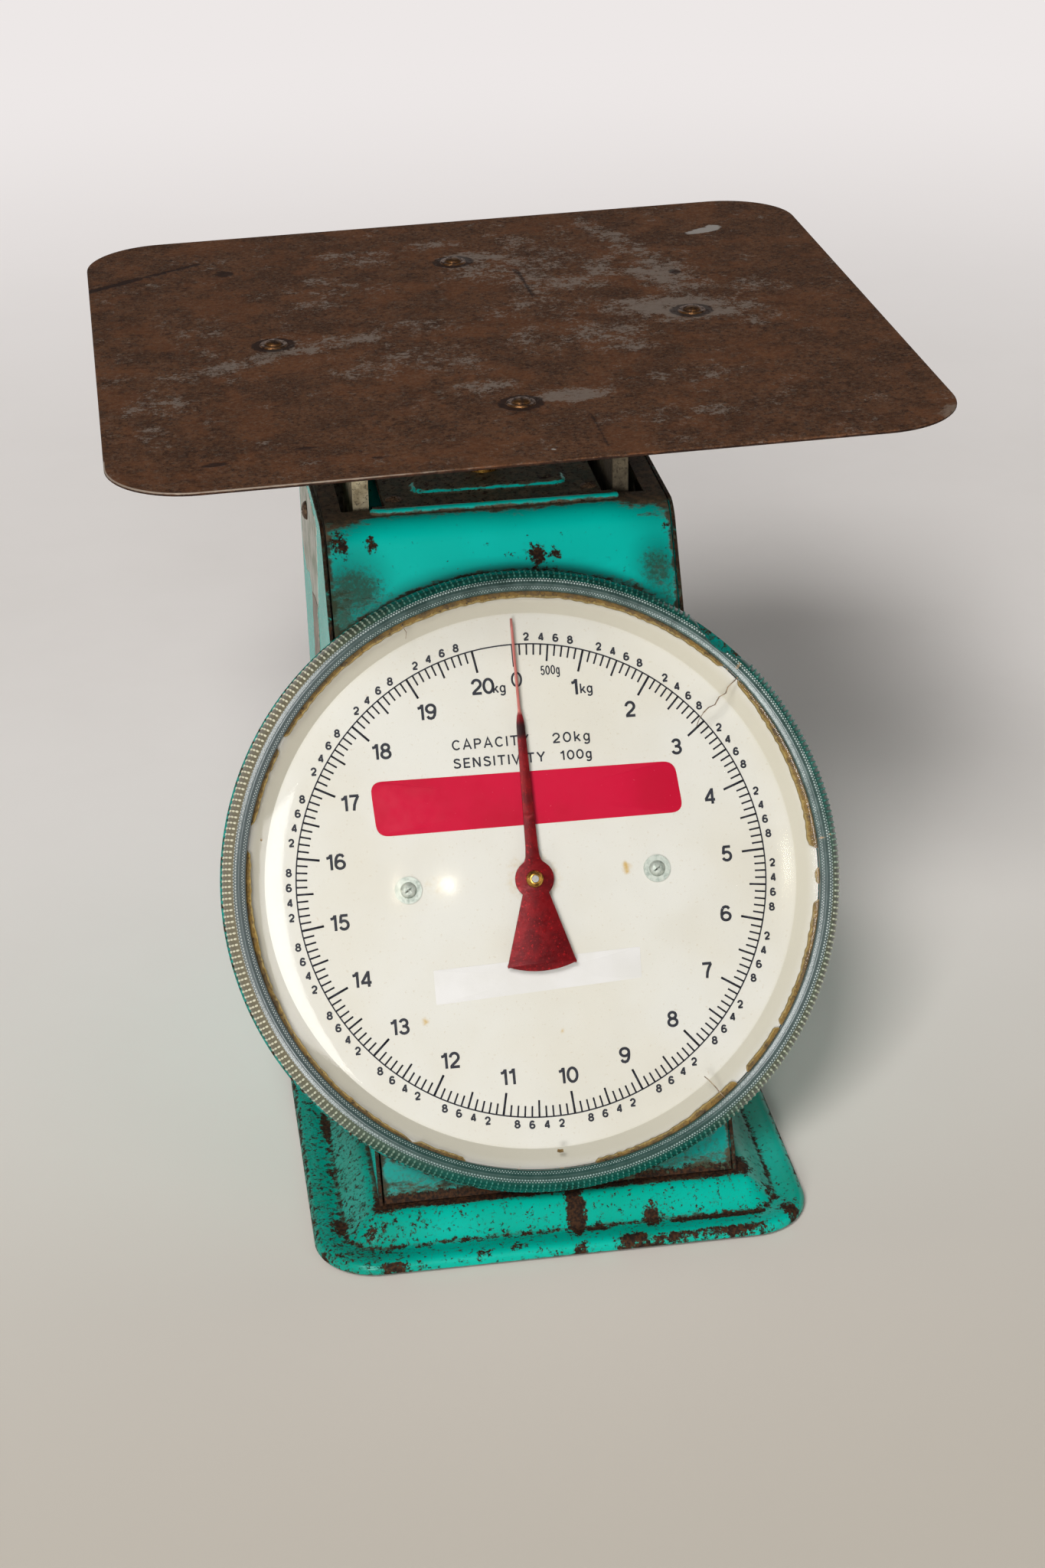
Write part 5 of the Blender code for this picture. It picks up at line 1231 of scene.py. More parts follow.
# Label and strip
# Two bare stickers on the dial: a red vinyl one with round corners and a plain paper strip below it.
# The vinyl has faded unevenly and has small pale specks; the paper has yellowed a little.
def sticker(name, corners, radius, lift, finish, slot):
    """A thin sticker on the dial from its four (x, up) corners, with rounded corners and a soft edge."""
    a, b, c, d = (np.array(p, float) for p in corners)
    ring = []
    for before, here, after in ((d, a, b), (a, b, c), (b, c, d), (c, d, a)):
        p = (before - here) / np.linalg.norm(before - here)
        q = (after - here) / np.linalg.norm(after - here)
        for t in np.linspace(0, 1, 7):
            ring.append(here + p * radius * (1 - t) ** 2 + q * radius * t**2)
    count = len(ring)
    middle = sum(ring) / count
    levels = ((0.0, 0.0), (0.0, lift * 0.7), (0.15, lift), (30.0, lift))
    points = []
    for inset, h in levels:
        for p in ring:
            inwards = (middle - p) * min(1.0, inset / np.linalg.norm(middle - p))
            inwards *= 0.92 if inset > 1 else 1
            points.append(dial_place @ Vector((*(p + inwards), h)))
    faces = net(len(levels), count, True) + [tuple(range(count))[::-1], tuple(range(3 * count, 4 * count))]
    settle(shape(name, points, faces, finish), "housing", slot)


vinyl = Finish("red_vinyl", Specular_IOR_Level=0.12)
faded_red = vinyl.mixed(vinyl.level(vinyl.cloud(26, 3), 0.36, 0.66), paint(182, 3, 47), paint(172, 4, 41))
specks = vinyl.level(vinyl.cloud(0.8, 3, 0.6, (1, 1, 1), 2.0), 0.72, 0.76)
vinyl.lay(Base_Color=vinyl.mixed(vinyl.sums("MULTIPLY", specks, 0.6), faded_red, paint(204, 130, 142)))
vinyl.lay(Roughness=vinyl.level(vinyl.cloud(4, 4), 0.3, 0.7, 0.45, 0.6))
vinyl.bumps(vinyl.cloud(5, 2), 0.01)
sticker(
    "red_label", [(-51.3, 18.7), (53.5, 18.4), (51.9, 36.0), (-52.3, 37.3)], 4.2, 0.11, vinyl.material,
    "red_enamel",
)
strip_paper = Finish("strip_paper", Specular_IOR_Level=0.25)
pulp = strip_paper.cloud(0.8, 4, 0.6)
strip_paper.lay(
    Base_Color=strip_paper.mixed(
        strip_paper.level(strip_paper.cloud(16, 3), 0.35, 0.7), paint(207, 205, 202), paint(202, 200, 195),
    )
)
strip_paper.lay(Roughness=strip_paper.level(pulp, 0.3, 0.7, 0.5, 0.7))
strip_paper.bumps(pulp, 0.02)
sticker(
    "paper_strip", [(-36.5, -39.2), (33.8, -36.4), (34.2, -25.9), (-36.5, -27.6)], 0.5, 0.1,
    strip_paper.material, "cream_enamel",
)


# Dial screws
# Two cross-head screws with captive washers hold the dial plate and casing to the front. They are
# steel, and their plating has gone dull.
plated = Finish("plated_screw", Metallic=0.35)
film = plated.level(plated.cloud(1.6, 4, 0.6), 0.38, 0.68)
plated.lay(
    Base_Color=plated.mixed(film, paint(178, 184, 174), paint(138, 148, 138)),
    Roughness=plated.level(film, 0, 1, 0.4, 0.6),
)
plated.bumps(plated.cloud(0.5, 3), 0.03)
dial_seats = [(-42.5, 0.0, 0.05), (42.5, 0.0, 0.05)]
dial_screws = crease(head.grow(
    "dial_plate_screws", plated.material, dial_place, dial_seats, [(0.0, 0.0, 1.0)] * 2,
    Head_Radius=2.75, Head_Height=1.6, Bar_Length=2.9, Bar_Width=0.62, Bar_Depth=0.9,
    Washer_Radius=4.6, Washer_Sheet=0.6,
))
fasten(dial_screws, "housing", "zinc_steel", "dial_screw_left", "dial_screw_right")


# Pointer
# A hand stamped from thin steel: round hub, straight blade, fan tail and a long needle. It is coated
# in a clear metallic red that has rubbed off the needle. A brass boss clamps it on the shaft.
pointer_low, pointer_high = 3.0, 3.8
hub_radius, fan_radius = 6.6, 31.0
right_edge = [
    (0.34, 88.5), (0.43, 86.0), (0.44, 58.0), (0.55, 56.8), (0.95, 55.2), (1.25, 53.4), (1.38, 51.5),
    (1.5, 45.0), (1.85, 22.0), (2.1, 11.0), (2.4, 7.6), (3.0, 6.05),
]
right_edge += [
    (hub_radius * cos(a), hub_radius * sin(a)) for a in np.linspace(radians(58), radians(-48), 15)
]
right_edge += [(4.9, -6.3), (11.3, -27.4), (11.8, -28.5), (11.6, -29.2)]
fan_angle = atan2(-29.2, 11.0)
fan = [(fan_radius * cos(a), fan_radius * sin(a)) for a in np.linspace(fan_angle, -pi - fan_angle, 20)]
outline = right_edge + fan + [(-x, y) for x, y in reversed(right_edge)]
hand = bmesh.new()
flat = hand.faces.new([hand.verts.new((x, y, pointer_low)) for x, y in outline])
pushed = bmesh.ops.extrude_face_region(hand, geom=[flat])
pushed_points = [v for v in pushed["geom"] if isinstance(v, bmesh.types.BMVert)]
bmesh.ops.translate(hand, verts=pushed_points, vec=(0, 0, pointer_high - pointer_low))
for cut_at in np.arange(-30, 88, 2.0):
    whole_hand = hand.verts[:] + hand.edges[:] + hand.faces[:]
    bmesh.ops.bisect_plane(hand, geom=whole_hand, plane_co=(0, cut_at, 0), plane_no=(0, 1, 0))
hand_points = np.array([v.co for v in hand.verts])
hand.verts.index_update()
hand_faces = [tuple(v.index for v in face.verts) for face in hand.faces]
hand.free()
needle_mark = np.clip((hand_points[:, 1] - 54.5) / 3.0, 0, 1)
placed_hand = np.array([dial_place @ Vector(p) for p in hand_points])
lacquer = Finish("red_lacquer", Metallic=0.25, Specular_IOR_Level=0.15)
depth = lacquer.mixed(
    lacquer.level(lacquer.cloud(6, 4, 0.6), 0.36, 0.66), paint(82, 3, 8), paint(108, 5, 12),
)
# Lighter red specks over the lacquer: painted sparkle of the metallic coat.
depth = lacquer.mixed(
    lacquer.level(lacquer.cloud(0.9, 4, 0.7, (1, 1, 1), 7.0), 0.56, 0.7), depth, paint(150, 16, 22),
)
depth = lacquer.mixed(
    lacquer.ragged(lacquer.mark("smoked"), lacquer.cloud(3, 4), 0.5, 0.15, 0.9), depth, paint(34, 8, 10),
)
bare = lacquer.ragged(lacquer.mark("needle"), lacquer.cloud(1.3, 4, 0.6), 0.9, 0.4, 0.75)
lacquer.lay(Base_Color=lacquer.mixed(bare, depth, paint(158, 92, 84)))
lacquer.lay(Roughness=lacquer.level(lacquer.cloud(1.2, 4), 0.3, 0.7, 0.3, 0.48))
lacquer.bumps(lacquer.cloud(0.8, 3), 0.03)
smoke_mark = np.clip(1.4 - np.abs(hand_points[:, 1] - 50.5) / 3.2, 0, 1)
pointer = shape(
    "stamped_pointer", placed_hand, hand_faces, lacquer.material, needle=needle_mark, smoked=smoke_mark,
)
ease_edges(pointer, 0.12, 2, 60)
settle(pointer, "pointer_set", "red_enamel", "pointer")

boss_profile = [
    (1.25, 4.1), (2.9, 4.1), (2.95, 4.4), (2.8, 4.75), (2.3, 5.1), (2.05, 5.4), (1.75, 5.65), (1.4, 5.7),
    (1.25, 5.6),
]
boss_points, boss_faces = lathe(boss_profile, 48, dial_place)
settle(
    shape("pointer_boss", boss_points, boss_faces, brass.material), "pointer_set", "brass", "pointer_nut",
)


# Glue bed
# The clear cover was bedded on the dial's rim in a brown glue, spread by hand: its edge wanders, and
# it has come away in places.
drip = np.random.default_rng(21)
glue_steps = 900
turns = np.arange(glue_steps) * 2 * pi / glue_steps


def wander(size, peak):
    """A smooth random wobble round the ring."""
    waves = sum(drip.normal(0, 1) * np.sin(k * turns + drip.uniform(0, 2 * pi)) for k in range(1, size))
    return peak * (waves / size**0.5)


turn_degrees = np.degrees(turns)
gone = 97.2
laid = [
    (0, 95.1), (20, 95.2), (40, 95.6), (46, 95.9), (47, gone), (50.5, gone), (51.5, 95.9), (62, 95.2),
    (70, 94.9), (80, 94.6), (86, 94.1), (88, 94.4), (89, gone), (92.5, gone), (93.5, 96.0), (95.5, 96.0),
    (96.5, gone), (99, gone), (100, 95.7), (110, 95.3), (125, 95.4), (126, gone), (127, 95.4),
    (136.5, 95.3), (137.5, gone), (140, gone), (141, 95.2), (150, 94.8), (153, 95.4), (165, 95.6),
    (172.5, 95.9), (173.5, gone), (199, gone), (200, 95.6), (209, 95.4), (210.5, gone), (212, 95.9),
    (220, 95.6), (240, 95.3), (260, 95.0), (278, 95.2), (280, 95.8), (281, gone), (285, gone),
    (287, 95.5), (301, 95.5), (302, gone), (304, gone), (305, 95.4), (330, 95.1), (345, 94.9),
    (360, 95.1),
]
glue_in = np.interp(turn_degrees, *zip(*laid)) + wander(60, 0.12) + wander(220, 0.14)
glue_out = 97.3 + wander(40, 0.03)
there = glue_out - glue_in > 0.3
glue_points, glue_faces = [], []
for i in range(glue_steps):
    thick = 0.05 * np.sin(37 * turns[i])
    for r, h in (
        (glue_in[i], 5.45), (glue_in[i] + 0.12, 6.8 + thick), (glue_out[i], 6.9), (glue_out[i], 5.45),
    ):
        glue_points.append(dial_place @ Vector((r * sin(turns[i]), r * cos(turns[i]), h)))
for i in range(glue_steps):
    j = (i + 1) % glue_steps
    if there[i] and there[j]:
        glue_faces += [(4 * i + k, 4 * i + (k + 1) % 4, 4 * j + (k + 1) % 4, 4 * j + k) for k in range(4)]
        if not there[i - 1]:
            glue_faces.append(tuple(4 * i + k for k in range(4)))
        if not there[(j + 1) % glue_steps]:
            glue_faces.append(tuple(4 * j + k for k in range(4))[::-1])
used = sorted({v for face in glue_faces for v in face})
renumber = {v: k for k, v in enumerate(used)}
glue_points = np.array(glue_points)[used]
fringe = np.array([1.0 if v % 4 < 2 else 0.0 for v in used])
glue_faces = [tuple(renumber[v] for v in face) for face in glue_faces]
glue = Finish("brown_glue", Specular_IOR_Level=0.35)
crumb = glue.cloud(1.1, 5, 0.65)
glue_tone = glue.mixed(glue.level(glue.cloud(4, 5, 0.65), 0.36, 0.66), paint(116, 86, 12), paint(70, 50, 6))
glue_tone = glue.mixed(glue.level(crumb, 0.56, 0.66), glue_tone, paint(34, 22, 5))
dried = glue.ragged(glue.mark("fringe"), glue.cloud(1.4, 5, 0.7, (1, 1, 1), 3.0), 1.4, 0.72, 0.9)
glue.lay(Base_Color=glue.mixed(glue.sums("MULTIPLY", dried, 0.55), glue_tone, paint(168, 146, 84)))
glue.lay(Roughness=glue.level(crumb, 0.3, 0.7, 0.5, 0.75))
glue.bumps(crumb, 0.25)
settle(
    shape("glue_bed", glue_points, glue_faces, glue.material, fringe=fringe), "housing", "brown_glue",
    "cover_seal",
)


# Clear cover
# A moulded clear plastic cover: a flat window with a raised, beaded and ribbed rim that grips the
# casing's flange. A piece has broken out of the rim, and cracks run in from its edge.
window_profile = [
    (0.0, 9.0), (40, 9.0), (78, 9.0), (83, 8.98), (86, 8.93), (89, 8.83), (92, 8.66), (95, 8.42),
    (97.4, 8.18),
]
window_profile += [(97.4, 7.3), (96.4, 7.0), (40, 7.0), (0.0, 7.0)]
window_points, window_faces = lathe(window_profile, 256, dial_place)
clear = Finish("clear_plastic", Base_Color=paint(255, 255, 255), Metallic=1.0, Roughness=0.055, Alpha=0.016)
clear.bumps(clear.cloud(26, 2), 0.02)
window = settle(
    shape("clear_window", window_points, window_faces, clear.material), "housing", "clear_plastic",
    "clear_cover",
)

cracks, crack_low, crack_high = Strokes(), 8.0, 9.03
cracks.ribbon(
    [
        (75.4, 62.4), (73.6, 60.9), (71.2, 59.0), (70.2, 56.9), (67.9, 55.9), (66.1, 53.3), (63.9, 52.6),
        (61.9, 50.9),
    ],
    0.3, crack_low, crack_high,
)
cracks.ribbon([(61.9, 50.9), (60.0, 48.4), (59.2, 46.6)], 0.12, crack_low, crack_high)
cracks.ribbon(
    [(57.2, -79.4), (55.4, -77.2), (54.2, -75.3), (52.0, -72.6), (50.6, -71.2)], 0.26, crack_low,
    crack_high,
)
cracks.ribbon([(-37.6, 88.7), (-36.2, 86.0), (-36.6, 83.9)], 0.12, crack_low, crack_high)
cracked = Finish("soiled_crack", Roughness=0.5)
cracked.lay(
    Base_Color=cracked.mixed(
        cracked.level(cracked.cloud(2.0, 4), 0.4, 0.66), paint(86, 62, 38), paint(150, 130, 102),
    )
)
settle(cracks.piece("window_cracks", cracked.material), "housing", "clear_plastic")
dirt, dirt_low, dirt_high = Strokes(), 6.2, 7.0
dirt.ribbon([(-1.0, -91.0), (-0.2, -91.3), (0.9, -91.2)], 1.0, dirt_low, dirt_high)
dirt.ribbon([(-90.4, 20.6), (-90.1, 21.3)], 0.7, dirt_low, dirt_high)
no_fringe = np.zeros(len(dirt.points))
settle(dirt.piece("dirt_specks", glue.material, fringe=no_fringe), "housing", "brown_glue")

rim_profile = [
    (97.0, 8.5), (97.1, 9.0), (97.4, 9.25), (98.4, 9.35), (98.75, 9.5), (99.0, 9.66), (99.3, 9.72),
    (99.6, 9.66), (99.9, 9.5), (100.3, 9.42), (101.1, 9.36), (101.7, 9.05), (102.6, 8.2), (103.3, 7.1),
    (103.9, 6.0), (104.4, 4.7), (104.6, 3.6), (104.6, -1.5), (104.4, -1.7), (103.5, -1.7), (103.3, -1.5),
    (103.3, 3.2), (102.9, 4.6), (101.8, 6.0), (100.2, 6.9), (97.0, 7.15),
]
rim_points, rim_broken, rim_sides = [], [], 720
rim_reach, bite_depth, bite_start, bite_span = 104.7, 5.2, 36.6, 12.6
rough_edge = np.random.default_rng(4).normal(0, 0.1, rim_sides)
for r, h in rim_profile:
    for i in range(rim_sides):
        a = 360 * i / rim_sides
        bite = np.clip((a - bite_start) / bite_span, 0, 1)
        edge_r = rim_reach - bite_depth * max(sin(pi * bite), 0.0) ** 0.8 + rough_edge[i] * (0 < bite < 1)
        edge_h = np.interp(edge_r, *zip(*rim_profile[6:16]))
        rr, hh = (edge_r, np.clip(h, edge_h - 1.6, edge_h)) if r > edge_r else (r, h)
        rim_points.append(dial_place @ Vector((rr * sin(radians(a)), rr * cos(radians(a)), hh)))
        rim_broken.append(max(
            0.55 * (r > edge_r),
            0.85 * np.exp(-(((a - 86.8 + 0.14 * (r - 100)) / 0.3) ** 2)),
            0.8 * np.exp(-(((a - 48.8) / 0.5) ** 2)) * (98.6 < r < 101.5),
            0.8 * np.exp(-(((a - 78.5) / 0.7) ** 2)) * (r > 104),
        ))
rim_faces, last_ring = net(len(rim_profile), rim_sides, True), (len(rim_profile) - 1) * rim_sides
for i in range(rim_sides):
    j = (i + 1) % rim_sides
    rim_faces.append((last_ring + i, last_ring + j, j, i))


def moulded(name, light, dark, lit_through_tone, shade_below_tone, **constants):
    """The rim's clear plastic with its look painted in: teal where the casing shows through, darker below
    as painted shade, pale at the left and lower right as painted light from the floor.
    """
    plastic = Finish(name, **constants)
    tone = plastic.mixed(plastic.level(plastic.cloud(4, 4), 0.36, 0.66), paint(*light), paint(*dark))
    across = plastic.add("ShaderNodeSeparateXYZ", {"Vector": plastic.spot}, "X")
    tone = plastic.mixed(plastic.level(across, -0.03, -0.08), tone, paint(*lit_through_tone))
    down = plastic.add("ShaderNodeSeparateXYZ", {"Vector": plastic.spot}, "Z")
    tone = plastic.mixed(plastic.level(down, 0.075, 0.02, 0.0, 0.7), tone, paint(*shade_below_tone))
    low_down = plastic.level(down, 0.125, 0.095, 0.0, 0.6)
    lower_right = plastic.sums("MULTIPLY", plastic.level(across, 0.045, 0.075), low_down)
    tone = plastic.mixed(lower_right, tone, paint(*lit_through_tone))
    ends = plastic.ragged(plastic.mark("broken"), plastic.cloud(1.2, 4), 0.9, 0.4, 0.8)
    plastic.lay(Base_Color=plastic.mixed(ends, tone, paint(158, 130, 98)))
    plastic.bumps(plastic.cloud(1.5, 3), 0.05)
    return plastic.material


inner_band = moulded(
    "rim_inner_band", (66, 86, 82), (46, 66, 62), (70, 80, 80), (22, 58, 52), Roughness=0.24,
    Specular_IOR_Level=0.4,
)
outer_band = moulded(
    "rim_outer_band", (26, 84, 74), (18, 62, 54), (104, 98, 80), (12, 66, 58), Roughness=0.26,
    Specular_IOR_Level=0.3,
)
# The beads are painted pale, as painted glints of clear beads.
bead_glint_crest = moulded(
    "rim_beads", (176, 190, 186), (120, 142, 136), (160, 166, 162), (104, 132, 126), Roughness=0.12,
    Coat_Weight=0.4, Coat_Roughness=0.05,
)
rib_crest = moulded(
    "rim_ribs", (48, 112, 100), (32, 84, 74), (196, 192, 168), (30, 96, 84), Roughness=0.2,
    Specular_IOR_Level=0.4,
)
rim = shape("cover_rim", rim_points, rim_faces, inner_band, broken=np.array(rim_broken, float))
rim.data.materials.append(outer_band)
for face in rim.data.polygons:
    face.material_index = int(10 <= face.vertices[0] // rim_sides <= 17)
settle(rim, "housing", "clear_plastic")
chip, bead_count, rib_count = (36.0, 49.8), 630, 333
dot, between, no_gap = (0.5, 0.36, 0.34), 180 / bead_count, (0.0, 0.0)
rim_work = [
    ("rim_dots_inner", "Beads", bead_glint_crest, bead_count, 97.75, 9.28, dot, 0.0, no_gap),
    ("rim_dots_second", "Beads", bead_glint_crest, bead_count, 98.25, 9.33, dot, between, no_gap),
    ("rim_beads", "Beads", bead_glint_crest, bead_count, 100.45, 9.4, (0.74, 0.62, 0.62), 0.0, (40.5, 45.5)),
    (
        "rim_dots_third", "Beads", bead_glint_crest, bead_count, 101.15, 9.32, (0.56, 0.44, 0.44), between,
        (38.5, 47.5),
    ),
    ("rim_ribs_upper", "Beads", rib_crest, rib_count, 102.3, 8.45, (0.9, 1.4, 1.5), 0.0, chip),
    ("rim_ribs_middle", "Beads", rib_crest, rib_count, 103.45, 6.75, (0.9, 1.3, 2.4), 0.0, chip),
    ("rim_ribs_lower", "Beads", rib_crest, rib_count, 104.3, 4.4, (0.9, 0.8, 2.8), 0.0, chip),
    ("rim_skirt_ribs", "Blocks", rib_crest, rib_count, 104.55, 0.8, (0.8, 0.42, 4.6), 0.0, chip),
]
for name, label, crest, count, radius, height, size, first, gap in rim_work:
    work = ringed(name, label, crest, dial_place, count, 360 / count, radius, height, size, first, gap=gap)
    fasten(work, "housing", "clear_plastic")


# Posts and spider
# Two flat posts of zinc-plated steel come up through the slots; their tops are bent inwards and
# screwed under a cross-shaped spider. The platform sits a little askew on them, as an old one does.
lean_turn, lean_tilt, lean_lift, lean_from = radians(0.5), radians(0.96), 1.0, 250.0
plate_middle = (2.0, 21.5)


def askew(points):
    """The platform's small turn and tilt, taken up gradually above a height."""
    points = np.array(points, float)
    share = np.clip((points[:, 2] - lean_from) / 6.0, 0, 1)
    dx, dy = points[:, 0] - plate_middle[0], points[:, 1] - plate_middle[1]
    turned_x = plate_middle[0] + dx * cos(lean_turn) - dy * sin(lean_turn)
    turned_y = plate_middle[1] + dx * sin(lean_turn) + dy * cos(lean_turn)
    lifted = points[:, 2] + lean_lift + tan(lean_tilt) * (turned_x - plate_middle[0])
    return points + share[:, None] * (np.c_[turned_x, turned_y, lifted] - points)


def slab(outline, low, high, axis):
    """A flat outline pushed between two values of an axis, as points and faces."""
    points = [(a, c, b) if axis == "y" else (a, b, c) for c in (low, high) for a, b in outline]
    count = len(outline)
    return points, [tuple(range(count)), tuple(range(count, 2 * count))[::-1]] + net(2, count, True)


soiled_zinc = Finish("soiled_zinc", Metallic=0.5)
film = soiled_zinc.level(soiled_zinc.cloud(6.0, 5, 0.65), 0.34, 0.62)
clean = soiled_zinc.mixed(film, paint(196, 184, 152), paint(150, 136, 106))
# Darker film where the mark says; on the right post it is painted shade.
post_tone = soiled_zinc.mixed(
    soiled_zinc.mark("soiled"), clean, soiled_zinc.mixed(film, paint(72, 60, 43), paint(44, 36, 27)),
)
pits = soiled_zinc.level(soiled_zinc.cloud(0.9, 4, 0.7, (1, 1, 1), 4.0), 0.56, 0.64)
post_tone = soiled_zinc.mixed(soiled_zinc.sums("MULTIPLY", pits, 0.8), post_tone, paint(50, 38, 28))
soiled_zinc.lay(Base_Color=post_tone, Roughness=soiled_zinc.level(film, 0, 1, 0.4, 0.7))
soiled_zinc.bumps(pits, 0.06)
outer, inner, flange, post_bend, flange_sheet = 47.9, 43.1, 27.1, 3.0, 2.5
for side, label in ((-1, "left"), (1, "right")):
    low, high = (1000 * np.array(corner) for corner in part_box(f"{label}_post"))
    heights = [low[2], 120.0, 200.0, 240.0, 250.0, 253.0, 256.0]
    bend_x, bend_z = outer - post_bend, high[2] - post_bend
    profile = [(outer, z) for z in heights]
    profile += [
        (bend_x + post_bend * cos(a), bend_z + post_bend * sin(a)) for a in np.linspace(0, pi / 2, 7)
    ]
    profile += [(flange, high[2]), (flange, high[2] - flange_sheet), (inner, high[2] - flange_sheet)]
    profile += [(inner, z) for z in heights[::-1]]
    points, faces = slab([(side * x, z) for x, z in profile], low[1], high[1], "y")
    # The right post is painted much darker than the left: dirt, with painted shade on the post that stands
    # in shade.
    soiled = np.full(len(points), 0.15 if side < 0 else 0.85)
    post = shape(f"{label}_flat_post", askew(points), faces, soiled_zinc.material, soiled=soiled)
    ease_edges(post, 0.4, 2, 50)
    settle(post, "carriage", "zinc_steel", f"{label}_post")
reach_x, reach_y, half_x, half_y = 84, 89, 14, 23.5
right_half = [
    (half_x, -reach_y), (half_x, -half_y), (reach_x, -half_y), (reach_x, half_y), (half_x, half_y),
    (half_x, reach_y),
]
cross = right_half + [(-x, -y) for x, y in right_half]
spider_low, spider_high = 260.2, 262.7
points, faces = slab([(x, y + plate_middle[1]) for x, y in cross], spider_low, spider_high, "z")
spider = shape("cross_spider", askew(points), faces, zinc.material)
ease_edges(spider, 0.8, 3, 50)
settle(spider, "carriage", "zinc_steel", "platform_spider")


# Platform plate
# A square of steel sheet with round corners, once painted and now brown with rust, rubbed grey where
# goods were slid across it. Brass rivets hold it on the spider.
plate_half, plate_corner, platform_top, plate_gauge, right_excess = 134.0, 28.0, 264.2, 1.2, 0.7
platform_under = platform_top - plate_gauge
lip = [
    (1.0, platform_under), (0.25, platform_under + 0.05), (0.0, platform_under + 0.3),
    (0.0, platform_top - 0.5), (0.1, platform_top - 0.22), (0.3, platform_top - 0.08),
    (0.6, platform_top), (1.4, platform_top), (3.0, platform_top),
]
sheet = bmesh.new()
sheet_middle = (plate_middle[0] + right_excess, plate_middle[1])
loops = []
for inset, z in lip:
    ring = round_cornered(plate_half + right_excess, plate_half, plate_corner, inset, sheet_middle, 2)
    loops.append([sheet.verts.new((x, y, z)) for x, y in ring])
for low_ring, high_ring in zip(loops, loops[1:]):
    for i in range(len(low_ring)):
        j = (i + 1) % len(low_ring)
        sheet.faces.new((low_ring[i], low_ring[j], high_ring[j], high_ring[i]))
sheet.faces.new(loops[0][::-1])
sheet.faces.new(loops[-1])
for axis in (0, 1):
    normal = (1, 0, 0) if axis == 0 else (0, 1, 0)
    for cut_at in np.arange(-133, 134, 1.7):
        middle = [0.0, 0.0, 0.0]
        middle[axis] = plate_middle[axis] + cut_at
        whole_sheet = sheet.verts[:] + sheet.edges[:] + sheet.faces[:]
        bmesh.ops.bisect_plane(sheet, geom=whole_sheet, plane_co=middle, plane_no=normal)
sheet.verts.index_update()
sheet_points = np.array([v.co for v in sheet.verts])
sheet_faces = [tuple(v.index for v in face.verts) for face in sheet.faces]
sheet.free()
on_sheet = sheet_points[:, :2] - plate_middle
rivet_spots = [(0, -80), (0, 80), (-73, 0), (73, 0)]
rubbed = strongest(
    0.24,
    *blots(
        on_sheet, (72, 4, 22, 17, -12, 1.0), (50, 10, 14, 9, 0, 0.72), (74, 44, 17, 28, 14, 0.68),
        (38, 60, 34, 36, 0, 0.56), (10, 68, 22, 18, 0, 0.56), (30, -16, 34, 24, 0, 0.53),
        (46, -32, 14, 10, 0, 0.62), (20, 18, 26, 16, 0, 0.48), (19, -76, 14, 7, 0, 0.9),
        (-9, -62, 12, 9, 0, 0.66), (-22, -30, 26, 16, 0, 0.52), (-46, -36, 22, 10, 0, 0.5),
        (-64, -9, 8, 5, 0, 0.8), (-16, 6, 24, 11, 0, 0.52), (5, 83, 15, 8, 0, 0.82),
        (-7, 102, 18, 8, 0, 0.64), (-36, 99, 20, 6, 0, 0.58), (-28, 86, 22, 8, 0, 0.54),
        (36, 102, 26, 12, 0, 0.46), (-52, 62, 30, 15, 0, 0.48), (-46, 42, 24, 11, 0, 0.47),
        (-116, -52, 13, 22, 0, 0.55), (-118, -80, 11, 10, 0, 0.5), (100, 22, 15, 12, 0, 0.5),
        (92, -12, 16, 11, 0, 0.48), (40, -102, 36, 10, 0, 0.46), (62, -66, 28, 14, 0, 0.45),
        (-98, 20, 20, 26, 0, 0.42),
    ),
    *streaks(
        on_sheet, ((55, 120), (84, 30), 7.0, 0.64), ((-74, -7), (-25, 6), 8, 0.57),
        ((-78, -14), (-110, -31), 8, 0.6),
    ),
)
pale = strongest(
    *blots(
        on_sheet, (98, 95, 8.5, 3.2, 22, 0.95), (102, 98, 4, 3.2, 60, 0.8), (107, -105, 0.9, 0.9, 0, 0.9),
        (3, -124.5, 1.0, 0.9, 0, 0.9), (34, 8, 2.6, 0.8, 30, 0.5),
    ),
)
from_rivets = [np.hypot(*(on_sheet - spot).T) for spot in rivet_spots]
rivet_rings = [np.clip(1.5 - np.abs(gap - 6.0) / 1.8, 0, 1) for gap in from_rivets]
scar = strongest(
    *rivet_rings,
    *streaks(
        on_sheet, ((-134, 79), (-116, 90), 2.2, 1.0), ((-118, 89), (-93, 103), 1.4, 0.95),
        ((20.7, 65), (22.5, 30), 1.2, 0.85), ((20, -96), (20, -125), 1.2, 0.7),
    ),
    *blots(
        on_sheet, (-84, 87.5, 3.8, 3.8, 0, 1.0), (76.5, 46, 2.6, 3.4, 0, 1.0), (83, 37, 1.6, 1.8, 0, 0.8),
        (-100, -112, 5, 2.2, 10, 0.9), (-72, -104, 4, 1.8, 0, 0.85), (-50, -118, 3, 2, 0, 0.8),
        (-110, 112, 16, 12, 0, 0.42), (-110, -105, 18, 12, 0, 0.42), (112, -60, 18, 40, 0, 0.36),
    ),
)
rim_gap = plate_half - np.abs(on_sheet).max(axis=1)
corner_gap = plate_corner - np.hypot(*np.clip(np.abs(on_sheet) - plate_half + plate_corner, 0, None).T)
outer_gap = np.where((np.abs(on_sheet) > plate_half - plate_corner).all(axis=1), corner_gap, rim_gap)
